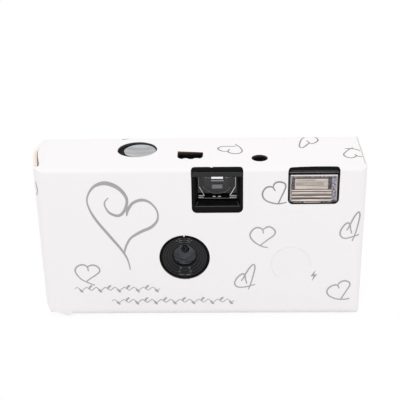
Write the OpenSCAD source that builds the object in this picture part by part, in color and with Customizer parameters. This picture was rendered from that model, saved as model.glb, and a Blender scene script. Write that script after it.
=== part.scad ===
// Disposable flash camera for 35 mm film in a folded card wrap. Millimetres.
// +X is right seen from the front, +Y runs from front to back, +Z is up.
// The origin is the centre of the base.

/* [Card wrap] */
// Width over the card
wrap_w = 116; // [114:1:124]
// Depth over the card
wrap_d = 30; // [30:0.5:34]
// Height over the card
wrap_h = 60; // [59:0.5:66]
// Thickness of the card
card_t = 0.5; // [0.4:0.05:0.6]
// Fold radius of the two left edges
left_fold_r = 4; // [3:0.5:6]
// Fold radius of the two right edges
right_fold_r = 2.5; // [2:0.5:4]
// Fold radius between front and top
front_fold_r = 1.5; // [1:0.25:2.5]
// Fold radius between back and top
rear_fold_r = 3.5; // [2:0.5:5]
// Fold radius along the base
base_fold_r = 3; // [2:0.5:4]
// Width of the slits at both ends of the top panel
end_slit = 0.8; // [0.4:0.1:1.2]
// Length at the left end without a base panel
short_flap = 10; // [6:1:14]
// Radius of the free corners at the lower left
free_corner_r = 3.8; // [3:0.2:5]
// Radius of the lower corners at the right end
end_corner_r = 2.6; // [2:0.2:3]

/* [Body shell] */
// Space between card and shell
shell_gap = 0.2; // [0.1:0.05:0.4]
// Wall of both covers
shell_wall = 1.2; // [1:0.05:1.3]
// Depth of the back cover
back_depth = 5.3; // [5:0.1:6]

/* [Taking lens] */
// Lens axis from the middle of the width
lens_x = -5.8; // [-7:0.1:-4]
// Lens axis above the base
lens_z = 25; // [25:0.1:26]
// Radius of the hole in the card
lens_hole_r = 9.1; // [9:0.1:10]
// Radius of the lens element
lens_r = 4.6; // [4.4:0.1:5]
// Radius of the aperture
aperture_r = 1.5; // [1:0.1:1.8]

/* [Viewfinder] */
// Middle of the viewfinder from the middle of the width
finder_x = 6.2; // [5.8:0.1:7]
// Width of the viewfinder recess
finder_w = 15.9; // [14:0.1:16.5]
// Height of the viewfinder recess
finder_h = 12; // [10:0.5:12]
// Depth of the viewfinder recess behind the shell face
finder_depth = 5.2; // [4:0.1:5.5]

/* [Flash] */
// Middle of the flash window from the right end
flash_inset = 18.4; // [18:0.1:20]
// Width of the flash window
flash_w = 16.8; // [14:0.1:17]
// Height of the flash window
flash_h = 10.8; // [9.5:0.1:11]
// Flash button from the right end
button_inset = 25.6; // [25:0.1:27]
// Flash button above the base
button_z = 22; // [18:0.5:26]
// Radius of the cut tab over the flash button
tab_r = 7.1; // [6.5:0.1:7.5]
// Travel of the flash button
button_travel = 0.8; // [0.4:0.1:0.8]

/* [Film] */
// Film plane from the inner face of the back cover
film_setback = 3.1; // [3:0.1:3.5]
// Cartridge axis from the inner face of the left end
cart_inset = 16.1; // [15.6:0.1:16.6]
// Supply spool axis from the right end
supply_inset = 31; // [30.5:0.5:32]
// Radius of the film wound on the supply spool
roll_r = 8.4; // [6:0.1:8.6]

/* [Top controls] */
// Radius of the thumb wheel
wheel_r = 13.6; // [13.2:0.1:13.7]
// Radius of the release button
cap_r = 5.7; // [5:0.1:6]
// Release button from the lens axis
cap_offset = 15.8; // [15.4:0.1:16.2]
// Release button from the middle of the depth
cap_y = 1.9; // [1.5:0.1:2.2]
// Travel of the release button
cap_travel = 1.2; // [0.8:0.1:1.2]
// Counter dial radius
dial_r = 9.2; // [8.6:0.1:9.3]
// Ready lamp hole radius in the card
lamp_hole_r = 2.9; // [2.6:0.1:3.4]
// Ready lamp from the middle of the width
lamp_x = 21.15; // [20:0.05:23]
// Ready lamp from the middle of the depth
lamp_y = -6.1; // [-6.5:0.1:-5.5]

/* [Hidden] */
$fn = 48;

// Clearances
run_gap = 0.08;
free_gap = 0.3;
seat_gap = 0.1;
kerf = 0.12;
big = 200;

// Ends of the slits beside the top panel
slit_y0 = -wrap_d / 2 + max(front_fold_r, left_fold_r * 0.5) + 1.5;
slit_y1 = wrap_d / 2 - max(rear_fold_r, right_fold_r);
end_rim = card_t + 0.5;
lip_y0 = max(slit_y0 + kerf, -wrap_d / 2 + left_fold_r);
lip_y1 = slit_y1 - 3;
flap_gap = 0.06;

// Shell faces, outer then inner
body_x = wrap_w / 2 - card_t - shell_gap;
body_y = wrap_d / 2 - card_t - shell_gap;
body_z0 = card_t + shell_gap;
body_z1 = wrap_h - card_t - shell_gap;
in_x = body_x - shell_wall;
in_y = body_y - shell_wall;
in_z0 = body_z0 + shell_wall;
in_z1 = body_z1 - shell_wall;
seam_y = body_y - back_depth;

// Standard film, cartridge and cell sizes
film_w = 35;
film_t = 0.14;
perf_pitch = 4.75;
perf_edge = 2.0;
perf_w = 2.8;
perf_l = 2.0;
gate_w = 36;
gate_margin = 0.7;
gate_h = film_w - 2 * (perf_edge + perf_w + gate_margin);
cart_r = 12.3;
cart_cap_r = 12.6;
cart_h = 44.6;
cart_wall = 0.35;
core_r = 5.5;
hub_h = 2.4;
cell_r = 7.25;
cell_h = 50.5;
cell_nub_r = 2.75;
cell_nub_h = 1;

// Film path
film_y = in_y - film_setback;
film_front = film_y - film_t / 2;
film_back = film_y + film_t / 2;
film_z = lens_z;
film_z0 = film_z - film_w / 2;
perf_z = film_z + film_w / 2 - perf_edge - perf_w / 2;
cart_x = -in_x + cart_inset;
cart_y = in_y - cart_cap_r - free_gap;
cart_z0 = film_z - cart_h / 2;
cart_z1 = cart_z0 + cart_h;
lip_x = cart_x + cart_r + 0.3;
lip_t = 0.4;
felt_t = 0.15;
slot_half = 0.25;
spool_core_r = 4.5;
supply_pin_r = 1.5;
supply_x = wrap_w / 2 - supply_inset;
supply_y = film_front - roll_r - seat_gap;
chamber_r = roll_r + 1.1;
chamber_z1 = film_z0 + film_w + 1;
frame_wall = 0.9;

// Frame and light tunnel
tunnel_wall = 1.2;
gate_x0 = lens_x - gate_w / 2;
gate_x1 = lens_x + gate_w / 2;
gate_z0 = film_z - gate_h / 2;
gate_z1 = film_z + gate_h / 2;
gate_y1 = film_front - seat_gap;
gate_y0 = gate_y1 - tunnel_wall;
deck_z0 = cart_z1 + free_gap;
deck_t = 1.2;
deck_z1 = deck_z0 + deck_t;
frame_z0 = in_z0 + 0.05;
cart_bay_r = cart_cap_r + free_gap;

// Lens stack along Y, front to back
ring_y0 = -wrap_d / 2 + 0.05;
ring_r = lens_hole_r - 0.3;
ring_bore_r = lens_r - 0.4;
ring_rim = 0.75;
ring_steps = 8;
ring_fall = 1.3;
ring_y1 = ring_y0 + 3.65;
seat_y0 = ring_y1 + seat_gap;
lens_t = 2;
lens_boss = 1.75;
seat_wall = 1.6;
seat_lip = 0.8;
seat_y1 = seat_y0 + lens_t + seat_lip;
plate_y0 = seat_y1 + 0.05;
plate_t = 0.3;
blade_y0 = plate_y0 + plate_t + free_gap;
blade_t = 0.3;
board_front_y = blade_y0 + blade_t + 0.35;
board_back_y = board_front_y + 1;

// Shutter
blade_px = lens_x - 7;
blade_pz = lens_z + 8;
blade_pin_r = 0.9;
blade_lobe_r = aperture_r + 0.8;
tab_top_z = in_z1 - 5.6;
tab_back_y = -3.5;
striker_x = blade_px - 1.2;
striker_y = 1;
striker_pin_r = 1.1;
striker_z0 = tab_top_z - 1.5;
striker_z1 = tab_top_z + 0.5;

// Rear face of the viewfinder tube's flange
finder_y0 = -body_y + finder_depth;
finder_lens_t = 2;
tube_y0 = finder_y0 + finder_lens_t + seat_gap;
tube_flange = 0.5;
tube_front = tube_y0 + tube_flange;

// Counter, sprocket and release
dial_x = finder_x - 10.7;
dial_y = tube_front + free_gap + dial_r;
dial_top = in_z1 - 1.7;
dial_t = 1.2;
dial_pin_r = 1.2;
dial_teeth = 40;
finger_r = 3;
sprocket_x = dial_x - dial_r - free_gap - finger_r;
sprocket_teeth = 8;
sprocket_base_r = 5.8;
sprocket_tip_r = 7.2;
sprocket_y = film_front - sprocket_base_r - kerf;
sprocket_pin_r = 1.2;
sprocket_shaft_r = 2;
cap_x = lens_x - cap_offset;
cap_top = wrap_h - 0.4;
cap_t = 1.8;
cap_hole_r = cap_r + free_gap;
lever_x = cap_x + 2.1;
lever_y = -1.5;
lever_z = tab_top_z - 0.5;
lever_t = 1.4;
lever_pin_r = 0.7;
stem_x = cap_x - 1.9;
wheel_z0 = deck_z1 + 1.4;
wheel_t = 3.8;
wheel_z1 = wheel_z0 + wheel_t;
wheel_pin_r = 2;
boss_r = 4;
scoop_depth = 2.7;
scoop_half_w = 12;
scoop_z0 = cart_z1 + 1.3;
scoop_z1 = wheel_z1 + 2.6;
wheel_slot_half = 9.2;
pawl_x = cart_x + wheel_r + 3.9;
pawl_y = cart_y + 7.1;
pawl_pin_r = 1;
pawl_tip_x = cart_x + sqrt(pow(wheel_r, 2) - pow(pawl_y - cart_y, 2)) + 0.5;

// Viewfinder
finder_z1 = in_z1 - 0.9;
finder_z0 = finder_z1 - finder_h;
finder_wall = 0.8;
tube_y1 = in_y - 2.4;
eye_w = 7.2;
eye_h = 5.2;
eye_z = finder_z0 + 5.8;

// Flash
flash_x = wrap_w / 2 - flash_inset;
flash_z1 = in_z1 - 0.7;
flash_z0 = flash_z1 - flash_h;
flash_z = (flash_z0 + flash_z1) / 2;
flash_y0 = -body_y - shell_gap + 0.05;
flash_flange = 0.6;
flash_y1 = -in_y + seat_gap + flash_flange;
refl_r = flash_h / 2 - 0.2;
refl_t = 0.4;
refl_half = flash_w / 2 - 1.8;
refl_y = flash_y1 + seat_gap;
xenon_r = 1.4;
xenon_y = refl_y + 2.9;
button_x = wrap_w / 2 - button_inset;
button_r = tab_r + 0.1;
button_face = -wrap_d / 2 + card_t + 0.25;
tab_hinge = 294;
tab_chord = 3.44;
board_t = 1.2;
board_y1 = supply_y - chamber_r - frame_wall - seat_gap;
board_y0 = board_y1 - board_t;
board_x0 = finder_x + finder_w / 2 + 1.6;
board_x1 = wrap_w / 2 - 15;
board_z0 = in_z0 + 1.6;
board_z1 = chamber_z1;
cell_x = in_x - cell_r - 0.25;
cell_y = in_y - cell_r - 0.25;
cell_z0 = in_z0 + 2.6;
cap_body_r = 5.2;
cond_x = in_x - cap_body_r - 1.4;
cond_y = cell_y - cell_r - cap_body_r - 0.55;
cond_z0 = in_z0 + 4.1;
cond_h = 32;
lamp_r = 1.9;
lamp_z0 = in_z1 - 9;

// Helpers
module corner_cut(r) {
  difference() {
    translate([-1, -1]) square(r + 1);
    translate([r, r]) circle(r);
  }
}

// Rectangle with its own radius at each corner, counter-clockwise from the lower left
module round_rect(x0, y0, x1, y1, r) {
  difference() {
    translate([x0, y0]) square([x1 - x0, y1 - y0]);
    if (r[0] > 0) translate([x0, y0]) corner_cut(r[0]);
    if (r[1] > 0) translate([x1, y0]) rotate(90) corner_cut(r[1]);
    if (r[2] > 0) translate([x1, y1]) rotate(180) corner_cut(r[2]);
    if (r[3] > 0) translate([x0, y1]) rotate(270) corner_cut(r[3]);
  }
}

// Front view outline pushed back along Y
module along_y(y0, y1) {
  translate([0, y1, 0]) rotate([90, 0, 0]) linear_extrude(y1 - y0) children();
}

module rod_y(x, z, r, y0, y1) {
  translate([x, y0, z]) rotate([-90, 0, 0]) cylinder(r = r, h = y1 - y0);
}

module rod_x(y, z, r, x0, x1) {
  translate([x0, y, z]) rotate([0, 90, 0]) cylinder(r = r, h = x1 - x0);
}

module rod_z(x, y, r, z0, z1) {
  translate([x, y, z0]) cylinder(r = r, h = z1 - z0);
}

module box(x0, x1, y0, y1, z0, z1) {
  translate([x0, y0, z0]) cube([x1 - x0, y1 - y0, z1 - z0]);
}

// Outline turned about the lens axis, drawn as radius and Y
module turned(x, z) {
  translate([x, 0, z]) rotate([-90, 0, 0]) rotate_extrude() children();
}

// Stack of wire rings that stands for a close wound coil
module ring_stack(r, wire_r, count) {
  for (i = [0:count - 1])
    translate([0, 0, wire_r + i * wire_r * 1.9]) rotate_extrude() translate([r, 0]) circle(wire_r);
}

// Folded form of the card or the shell inside it
module folded(inset, base_r) {
  w = wrap_w / 2 - inset;
  d = wrap_d / 2 - inset;
  rl = left_fold_r - inset;
  rr = right_fold_r - inset;
  rb = base_r > 0 ? base_r - inset : 0;
  rf = max(front_fold_r - inset, 0.3);
  rt = max(rear_fold_r - inset, 0.3);
  intersection() {
    linear_extrude(wrap_h) round_rect(-w, -d, w, d, [rl, rr, rr, rl]);
    translate([-big / 2, 0, 0]) rotate([90, 0, 90]) linear_extrude(big)
      round_rect(-d, base_r > 0 ? inset : 0, d, wrap_h - inset, [rb, rb, rt, rf]);
  }
}

module card_side() {
  box(-big, -wrap_w / 2 + short_flap, -big, big, -1, big);
}

// Flash tab outline, a disc cut off at its fold
module tab_outline(r, chord) {
  intersection() {
    circle(r);
    rotate(tab_hinge) translate([-big, -big / 2]) square([big + chord, big]);
  }
}

// Window that reaches up into the front fold, cut a little from above
module fold_window(x, half, z0) {
  lean = 20;
  up = front_fold_r * (1 - cos(45));
  v1 = (wrap_h - up - z0) * cos(lean) + up * sin(lean);
  translate([x, -wrap_d / 2, z0]) rotate([90 - lean, 0, 0]) translate([0, 0, -3]) linear_extrude(9)
    round_rect(-half, 0, half, v1, [1.8, 1.8, 1.8, 1.8]);
}

// Card wrap
module card_openings() {
  y0 = -wrap_d / 2;
  rod_y(lens_x, lens_z, lens_hole_r, y0 - 1, y0 + 1);
  fold_window(finder_x, finder_w / 2 + 1.05, finder_z0 - 2.2);
  fold_window(flash_x, flash_w / 2 + 0.5, flash_z0 - 0.4);
  translate([button_x, 0, button_z]) along_y(y0 - 1, y0 + 1) tab_outline(tab_r, tab_chord);
  rod_z(cap_x - 0.9, cap_y, 7.15, wrap_h - 1, wrap_h + 1);
  translate([0, 0, wrap_h - 1]) linear_extrude(2)
    round_rect(dial_x - 3.4, -6.5, dial_x + 5.7, -0.7, [2.4, 2.4, 0.3, 0.3]);
  rod_z(lamp_x, lamp_y, lamp_hole_r, wrap_h - 1, wrap_h + 1);
  along_y(wrap_d / 2 - 1, wrap_d / 2 + 1)
    round_rect(cart_x - scoop_half_w - 0.7, scoop_z0 - 0.7, cart_x + scoop_half_w + 0.7, scoop_z1 + 0.7,
      [3, 3, 3, 3]);
  along_y(wrap_d / 2 - 1, wrap_d / 2 + 1)
    round_rect(finder_x - 6, eye_z - 5, finder_x + 6, eye_z + 5, [2, 2, 2, 2]);
  translate([0, 0, wrap_h - 1]) linear_extrude(2) {
    translate([wrap_w / 2 - card_t - end_slit / 2, slit_y0]) square([end_slit / 2, slit_y1 - slit_y0]);
    polygon([[-wrap_w / 2 + card_t, slit_y0], [-wrap_w / 2 + end_rim + end_slit * 1.2, slit_y0],
      [-wrap_w / 2 + end_rim + end_slit * 0.4, lip_y1], [-wrap_w / 2 + card_t, lip_y1]]);
  }
}

// Folded sheet all round, open below at the short left flap
module card_sheet() {
  difference() {
    folded(0, base_fold_r);
    folded(card_t, base_fold_r);
    card_side();
  }
  intersection() {
    difference() {
      folded(0, 0);
      folded(card_t, 0);
    }
    card_side();
  }
}

// Cut-away under the short left flap: round corner, slant and rounded tip
module free_corners() {
  r = free_corner_r;
  lift = 2.2;
  tip_r = 1;
  along_y(-big / 2, big / 2) translate([-wrap_w / 2, 0]) difference() {
    translate([-1, -1]) square([short_flap + 1, r + lift + 1]);
    hull() {
      translate([r, r + lift]) circle(r);
      translate([short_flap - 1.8, tip_r + 0.45]) circle(tip_r);
      translate([short_flap + 1, 1.25]) square([1, r + lift]);
    }
  }
}

// Rounded lower corners before and behind the right end flap
module end_corners() {
  edge = wrap_d / 2 - right_fold_r + flap_gap;
  for (y0 = [-big / 2, edge]) along_y(y0, y0 + big / 2 - edge)
    translate([wrap_w / 2, 0]) mirror([1, 0]) corner_cut(end_corner_r);
}

// Space of the flap that closes one end between the two folds
module end_space(side, fold_r, gap) {
  x0 = wrap_w / 2 - card_t - gap;
  half = wrap_d / 2 - fold_r + gap;
  box(side > 0 ? x0 : -big, side > 0 ? big : -x0, -half, half, -1, wrap_h + 1);
}

module card_end_left() {
  color("white") difference() {
    union() {
      intersection() {
        card_sheet();
        end_space(-1, left_fold_r, 0);
      }
      box(-wrap_w / 2 + card_t / 2, -wrap_w / 2 + end_rim, lip_y0, lip_y1 - kerf,
        wrap_h - card_t, wrap_h);
    }
    free_corners();
  }
}

module card_end_right() {
  edge = wrap_d / 2 - right_fold_r;
  color("white") difference() {
    intersection() {
      card_sheet();
      end_space(1, right_fold_r, 0);
    }
    for (s = [0, 1]) mirror([0, s, 0]) translate([0, -edge, 0])
      rotate([90, 0, 90]) linear_extrude(big) corner_cut(end_corner_r + 1.4);
  }
}

module card_wrap() {
  color("white") difference() {
    card_sheet();
    end_space(-1, left_fold_r, flap_gap);
    end_space(1, right_fold_r, flap_gap);
    card_openings();
    free_corners();
    end_corners();
    box(-wrap_w / 2 + card_t + 0.2, -wrap_w / 2 + short_flap - 0.6, -wrap_d / 2 + card_t,
      wrap_d / 2 - card_t, -1, 1);
  }
}

module card_flash_tab() {
  color("white") translate([button_x, 0, button_z])
    along_y(-wrap_d / 2, -wrap_d / 2 + card_t) tab_outline(tab_r - kerf, tab_chord - kerf);
}

// Shell
module shell_half() {
  skin = card_t + shell_gap;
  difference() {
    folded(skin, base_fold_r);
    folded(skin + shell_wall, base_fold_r);
    for (s = [0, 1]) mirror([s, 0, 0]) along_y(-big / 2, big / 2)
      translate([-wrap_w / 2 + skin, skin]) corner_cut(end_corner_r);
  }
}

module finder_block(grow, y0, y1) {
  box(finder_x - finder_w / 2 - grow, finder_x + finder_w / 2 + grow, y0, y1,
    finder_z0 - grow, finder_z1 + grow);
}

module front_cover() {
  color("dimgray") difference() {
    union() {
      intersection() {
        shell_half();
        box(-big, big, -big, seam_y, -big, big);
      }
      finder_block(finder_wall, -body_y + 0.5, finder_y0);
      rod_z(cart_x, cart_y, boss_r, wheel_z1 + free_gap, in_z1 + 0.5);
      rod_y(lens_x, lens_z, lens_hole_r + 1.2, -in_y - 0.5, -in_y + 0.6);
    }
    finder_block(0, -big, finder_y0 + 1);
    rod_z(cart_x, cart_y, wheel_pin_r + run_gap, 0, in_z1 + 0.2);
    rod_y(lens_x, lens_z, ring_r + 0.05, -big, 0);
    box(flash_x - flash_w / 2 - seat_gap, flash_x + flash_w / 2 + seat_gap, -big, 0,
      flash_z0 - seat_gap, flash_z1 + seat_gap);
    rod_y(button_x, button_z, button_r + 0.1, -big, 0);
    rod_z(cap_x, cap_y, cap_hole_r, in_z1 - 1, big);
    box(dial_x - 2.9, dial_x + 5.2, -6, -1.2, in_z1 - 0.5, big);
    rod_z(lamp_x, lamp_y, lamp_r + free_gap, in_z1 - 1, big);
    rod_z(cart_x, cart_y, wheel_r + free_gap, wheel_z0 - 0.6, wheel_z1 + free_gap);
  }
}

module scoop(grow) {
  along_y(body_y - scoop_depth - grow, body_y + 1)
    round_rect(cart_x - scoop_half_w - grow, scoop_z0 - grow, cart_x + scoop_half_w + grow,
      scoop_z1 + grow, [3, 3, 3, 3]);
}

module back_cover() {
  color("dimgray") difference() {
    union() {
      intersection() {
        union() {
          shell_half();
          intersection() {
            scoop(0.9);
            folded(card_t + shell_gap, base_fold_r);
          }
        }
        box(-big, big, seam_y + seat_gap, big, -big, big);
      }
      for (z = [film_z0 + 0.6, perf_z + 1.6])
        box(gate_x0, gate_x1, film_back + seat_gap, in_y + 0.4, z, z + 1.2);
      box(finder_x - eye_w / 2 - 1.4, finder_x + eye_w / 2 + 1.4, tube_y1 + 0.3, in_y + 0.4,
        eye_z - eye_h / 2 - 1.4, eye_z + eye_h / 2 + 1.4);
    }
    scoop(0);
    box(cart_x - wheel_slot_half, cart_x + wheel_slot_half, 0, body_y, wheel_z0 - free_gap, wheel_z1 + free_gap);
    box(finder_x - eye_w / 2, finder_x + eye_w / 2, 0, big, eye_z - eye_h / 2, eye_z + eye_h / 2);
    box(finder_x - eye_w / 2 - 0.6, finder_x + eye_w / 2 + 0.6, 0, in_y - 0.3,
      eye_z - eye_h / 2 - 0.6, eye_z + eye_h / 2 + 0.6);
    rod_z(cart_x, cart_y, cart_cap_r + free_gap, cart_z0 - 0.3, cart_z1 + 0.2);
  }
}

// Main frame
module bay(x, y, r_in, r_out, z0, z1) {
  difference() {
    union() {
      rod_z(x, y, r_out, z0, z1);
      box(x - r_out, x + r_out, y, gate_y0 + 0.4, z0, z1);
    }
    rod_z(x, y, r_in, z0 - 1, z1 + 1);
    box(x - r_in, x + r_in, y, big, z0 - 1, z1 + 1);
  }
}

module main_frame() {
  color("#2a2a2c") difference() {
    union() {
      for (s = [-1, 1]) translate([cart_x + s * (cart_bay_r + frame_wall / 2), 0, 0])
        box(-frame_wall / 2, frame_wall / 2, cart_y - 9, gate_y0, frame_z0, deck_z0 + 0.5);
      bay(supply_x, supply_y, chamber_r, chamber_r + frame_wall, frame_z0, chamber_z1 + frame_wall);
      box(supply_x - chamber_r - 0.5, supply_x + chamber_r + 0.5, supply_y, gate_y1 - 1.5,
        chamber_z1, chamber_z1 + frame_wall);
      rod_z(supply_x, supply_y, chamber_r + 0.5, chamber_z1, chamber_z1 + frame_wall);
      rod_z(supply_x, supply_y, 3.2, frame_z0, film_z0 - 3);
      box(supply_x - chamber_r - 0.4, supply_x + chamber_r + 0.4, supply_y, gate_y1 - 1.5,
        frame_z0, frame_z0 + 0.9);
      rod_z(supply_x, supply_y, chamber_r + 0.4, frame_z0, frame_z0 + 0.9);
      box(gate_x0 - tunnel_wall, gate_x1 + tunnel_wall, board_front_y, gate_y0 + 0.2,
        gate_z0 - tunnel_wall, gate_z1 + tunnel_wall);
      box(lip_x + 0.6, supply_x - chamber_r - 0.2, gate_y0, gate_y1, frame_z0, chamber_z1 + frame_wall);
      box(cart_x - cart_bay_r, dial_x + 1.6, -in_y + 0.05, seam_y - 0.2, deck_z0, deck_z1);
      box(gate_x0 - tunnel_wall, gate_x0, board_front_y, gate_y0 + 0.2, gate_z1, deck_z0 + 0.5);
      box(cart_x + cart_bay_r - 1.5, gate_x0, gate_y0 - 2, gate_y0 + 0.4, frame_z0, deck_z0 + 0.5);
      for (a = [-70, 0, 70]) rod_y(lens_x + 5.2 * cos(a), lens_z + 5.2 * sin(a), 0.9,
        plate_y0 + plate_t, board_front_y + 0.3);
      rod_y(blade_px, blade_pz, blade_pin_r, plate_y0, board_front_y + 0.3);
      rod_y(blade_px - 8.6, blade_pz + 2, 0.7, plate_y0, board_front_y + 0.3);
      rod_z(striker_x, striker_y, striker_pin_r, deck_z0 + 0.2, striker_z1 + 0.6);
      rod_z(dial_x, dial_y, dial_pin_r, deck_z0 + 0.2, dial_top + 0.2);
      rod_z(dial_x, dial_y, dial_pin_r + 1, deck_z0 + 0.2, dial_top - dial_t - 0.1);
      box(lever_x - 1, lever_x + 1, lever_y - 2.5, lever_y - 1.3, deck_z0 + 0.2, lever_z + 1);
      rod_y(lever_x, lever_z, lever_pin_r, lever_y - 1.5, lever_y + 1.3);
      rod_z(pawl_x, pawl_y, pawl_pin_r, deck_z0 + 0.2, wheel_z1);
    }
    box(gate_x0, gate_x1, board_back_y, big, gate_z0, gate_z1);
    rod_y(lens_x, lens_z, 3, board_front_y - 0.1, board_back_y + 0.1);
    rod_z(cart_x, cart_y, core_r + 0.6, cart_z1 - 1, deck_z1 + 1);
    box(blade_px - 0.4, dial_x + 0.2, blade_y0 - 0.6, tab_back_y + 0.5, deck_z0 - 1, deck_z1 + 0.1);
    rod_z(sprocket_x, sprocket_y, sprocket_shaft_r + 0.25, deck_z0 - 1, deck_z1 + 1);
    rod_z(sprocket_x, sprocket_y, sprocket_pin_r + run_gap, gate_z1 + 0.3, gate_z1 + 5);
    rod_z(sprocket_x, sprocket_y, sprocket_tip_r + free_gap, gate_z1 + tunnel_wall, perf_z + 1.4);
    for (z0 = [frame_z0 - 1, film_z0 + film_w + 0.4])
      rod_z(supply_x, supply_y, supply_pin_r + run_gap, z0, z0 + 8);
  }
}

// Lens stack
module lens_ring() {
  color("#1c1c1e") turned(lens_x, lens_z) difference() {
    union() {
      translate([ring_bore_r, ring_y0]) square([ring_r - ring_bore_r, ring_y1 - ring_y0]);
      translate([ring_bore_r, -in_y + 0.7]) square([ring_r + 0.8 - ring_bore_r, ring_y1 + in_y - 0.7]);
    }
    for (i = [0:ring_steps - 1])
      translate([0, ring_y0 - 0.1])
        square([ring_r - ring_rim - i * (ring_r - ring_rim - ring_bore_r) / ring_steps,
          0.1 + ring_fall * (i + 1) / ring_steps]);
  }
}

module taking_lens() {
  bulge = 16;
  front = seat_y0 - lens_boss;
  color("lightblue") intersection() {
    rod_y(lens_x, lens_z, lens_r, front - 1.2, seat_y0 + lens_t);
    union() {
      rod_y(lens_x, lens_z, lens_r, seat_y0 + 0.2, seat_y0 + lens_t);
      intersection() {
        rod_y(lens_x, lens_z, ring_bore_r - 0.12, front - 1.2, seat_y0 + lens_t);
        translate([lens_x, front - 0.45 + bulge, lens_z]) sphere(bulge, $fn = 96);
      }
    }
  }
}

module lens_seat() {
  color("#202022") turned(lens_x, lens_z) difference() {
    translate([lens_r - 1.2, seat_y0]) square([seat_wall + 1.2, seat_y1 - seat_y0]);
    translate([0, seat_y0 - 1]) square([lens_r + 0.05, lens_t + 1.02]);
  }
}

module aperture_plate() {
  color("#303032") difference() {
    rod_y(lens_x, lens_z, lens_r + seat_wall, plate_y0, plate_y0 + plate_t);
    rod_y(lens_x, lens_z, aperture_r, -big / 2, big / 2);
  }
}

module shutter_blade() {
  dx = lens_x - blade_px;
  dz = lens_z - blade_pz;
  reach = sqrt(dx * dx + dz * dz);
  color("silver") union() {
    difference() {
      along_y(blade_y0, blade_y0 + blade_t) union() {
        translate([lens_x, lens_z]) circle(blade_lobe_r);
        translate([blade_px, blade_pz]) circle(2);
        translate([blade_px, blade_pz]) rotate(atan2(dz, dx)) translate([0, -1.2]) square([reach, 2.4]);
        translate([blade_px + 0.1, blade_pz]) square([1.3, tab_top_z - blade_pz]);
      }
      rod_y(blade_px, blade_pz, blade_pin_r + run_gap, -big / 2, big / 2);
    }
    box(blade_px + 0.1, blade_px + 0.4, blade_y0, tab_back_y, tab_top_z - 6.5, tab_top_z);
  }
}

module blade_spring() {
  color("silver") translate([blade_px - 7.2, blade_y0 - 0.1, blade_pz + 2]) rotate([0, 90, 0])
    ring_stack(0.55, 0.12, 16);
}

module striker_lever() {
  color("#e8e4d8") difference() {
    union() {
      rod_z(striker_x, striker_y, 1.9, deck_z1 + 1.4, striker_z1);
      box(striker_x - 1, striker_x + 1, striker_y - 9.2, striker_y, striker_z0, striker_z1);
    }
    rod_z(striker_x, striker_y, striker_pin_r + run_gap, 0, big);
  }
}

module striker_spring() {
  color("silver") translate([striker_x, striker_y, deck_z1 + 0.1]) ring_stack(1.6, 0.2, 3);
}

// Controls
module release_button() {
  dish = 26;
  color("lightgray") union() {
    difference() {
      rod_z(cap_x, cap_y, cap_r, cap_top - cap_t, cap_top);
      translate([cap_x, cap_y, cap_top + dish - 0.45]) sphere(dish, $fn = 96);
    }
    box(cap_x - 12.6, cap_x - 2, cap_y - 1.6, cap_y + 1.6, cap_top - cap_t - 0.8, cap_top - cap_t + 0.1);
    rod_z(stem_x, lever_y, 0.8, lever_z + lever_t / 2 + free_gap, cap_top - cap_t + 0.1);
  }
}

module release_lever() {
  color("#e8e4d8") difference() {
    union() {
      box(lever_x - 5.5, lever_x + 3.2, lever_y - 1, lever_y + 1, lever_z - lever_t / 2, lever_z + lever_t / 2);
      rod_y(lever_x, lever_z, 1.2, lever_y - 1, lever_y + 1);
    }
    rod_y(lever_x, lever_z, lever_pin_r + run_gap, -big / 2, big / 2);
  }
}

module film_sprocket() {
  z0 = perf_z - 0.7;
  color("#e8e4d8") union() {
    rod_z(sprocket_x, sprocket_y, sprocket_pin_r, z0 - 0.9, z0 + 0.1);
    rod_z(sprocket_x, sprocket_y, sprocket_base_r, z0, z0 + 1.5);
    for (i = [0:sprocket_teeth - 1]) translate([sprocket_x, sprocket_y, z0])
      rotate((i + 0.5) * 360 / sprocket_teeth)
        translate([sprocket_base_r - 0.5, -0.65, 0.1]) cube([sprocket_tip_r - sprocket_base_r + 0.5, 1.3, 1.3]);
    rod_z(sprocket_x, sprocket_y, sprocket_shaft_r, z0 + 1, dial_top);
    translate([sprocket_x, sprocket_y, dial_top - dial_t]) rotate(180)
      translate([0, -0.6, 0]) cube([finger_r, 1.2, dial_t]);
  }
}

module counter_dial() {
  color("white") difference() {
    rod_z(dial_x, dial_y, dial_r, dial_top - dial_t, dial_top);
    rod_z(dial_x, dial_y, dial_pin_r + run_gap, 0, big);
    for (i = [0:dial_teeth - 1]) translate([dial_x, dial_y, 0]) rotate(i * 360 / dial_teeth)
      translate([dial_r - 0.7, -0.35, dial_top - dial_t - 1]) cube([2, 0.7, dial_t + 2]);
  }
}

module counter_window() {
  color("lightblue") box(dial_x - 3.5, dial_x + 5.8, -6.5, -0.6, in_z1 - 0.65, in_z1 - 0.05);
}

module thumb_wheel() {
  color("#303032") difference() {
    union() {
      rod_z(cart_x, cart_y, wheel_r, wheel_z0, wheel_z1);
      rod_z(cart_x, cart_y, wheel_pin_r, wheel_z1 - 0.1, in_z1 + 0.1);
      box(cart_x - 3.2, cart_x + 3.2, cart_y - 0.7, cart_y + 0.7, cart_z1, wheel_z0 + 0.1);
    }
    for (i = [0:47]) translate([cart_x, cart_y, 0]) rotate(i * 7.5)
      translate([wheel_r + 0.1, 0, wheel_z0 - 1]) cylinder(r = 0.5, h = wheel_t + 2);
  }
}

module ratchet_pawl() {
  color("silver") union() {
    difference() {
      rod_z(pawl_x, pawl_y, pawl_pin_r + 0.5, deck_z1 + 0.6, deck_z1 + 4);
      rod_z(pawl_x, pawl_y, pawl_pin_r + 0.05, 0, big);
    }
    box(pawl_tip_x, pawl_x - 1.2, pawl_y - 0.2, pawl_y + 0.2, deck_z1 + 1.6, deck_z1 + 4);
  }
}

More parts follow.
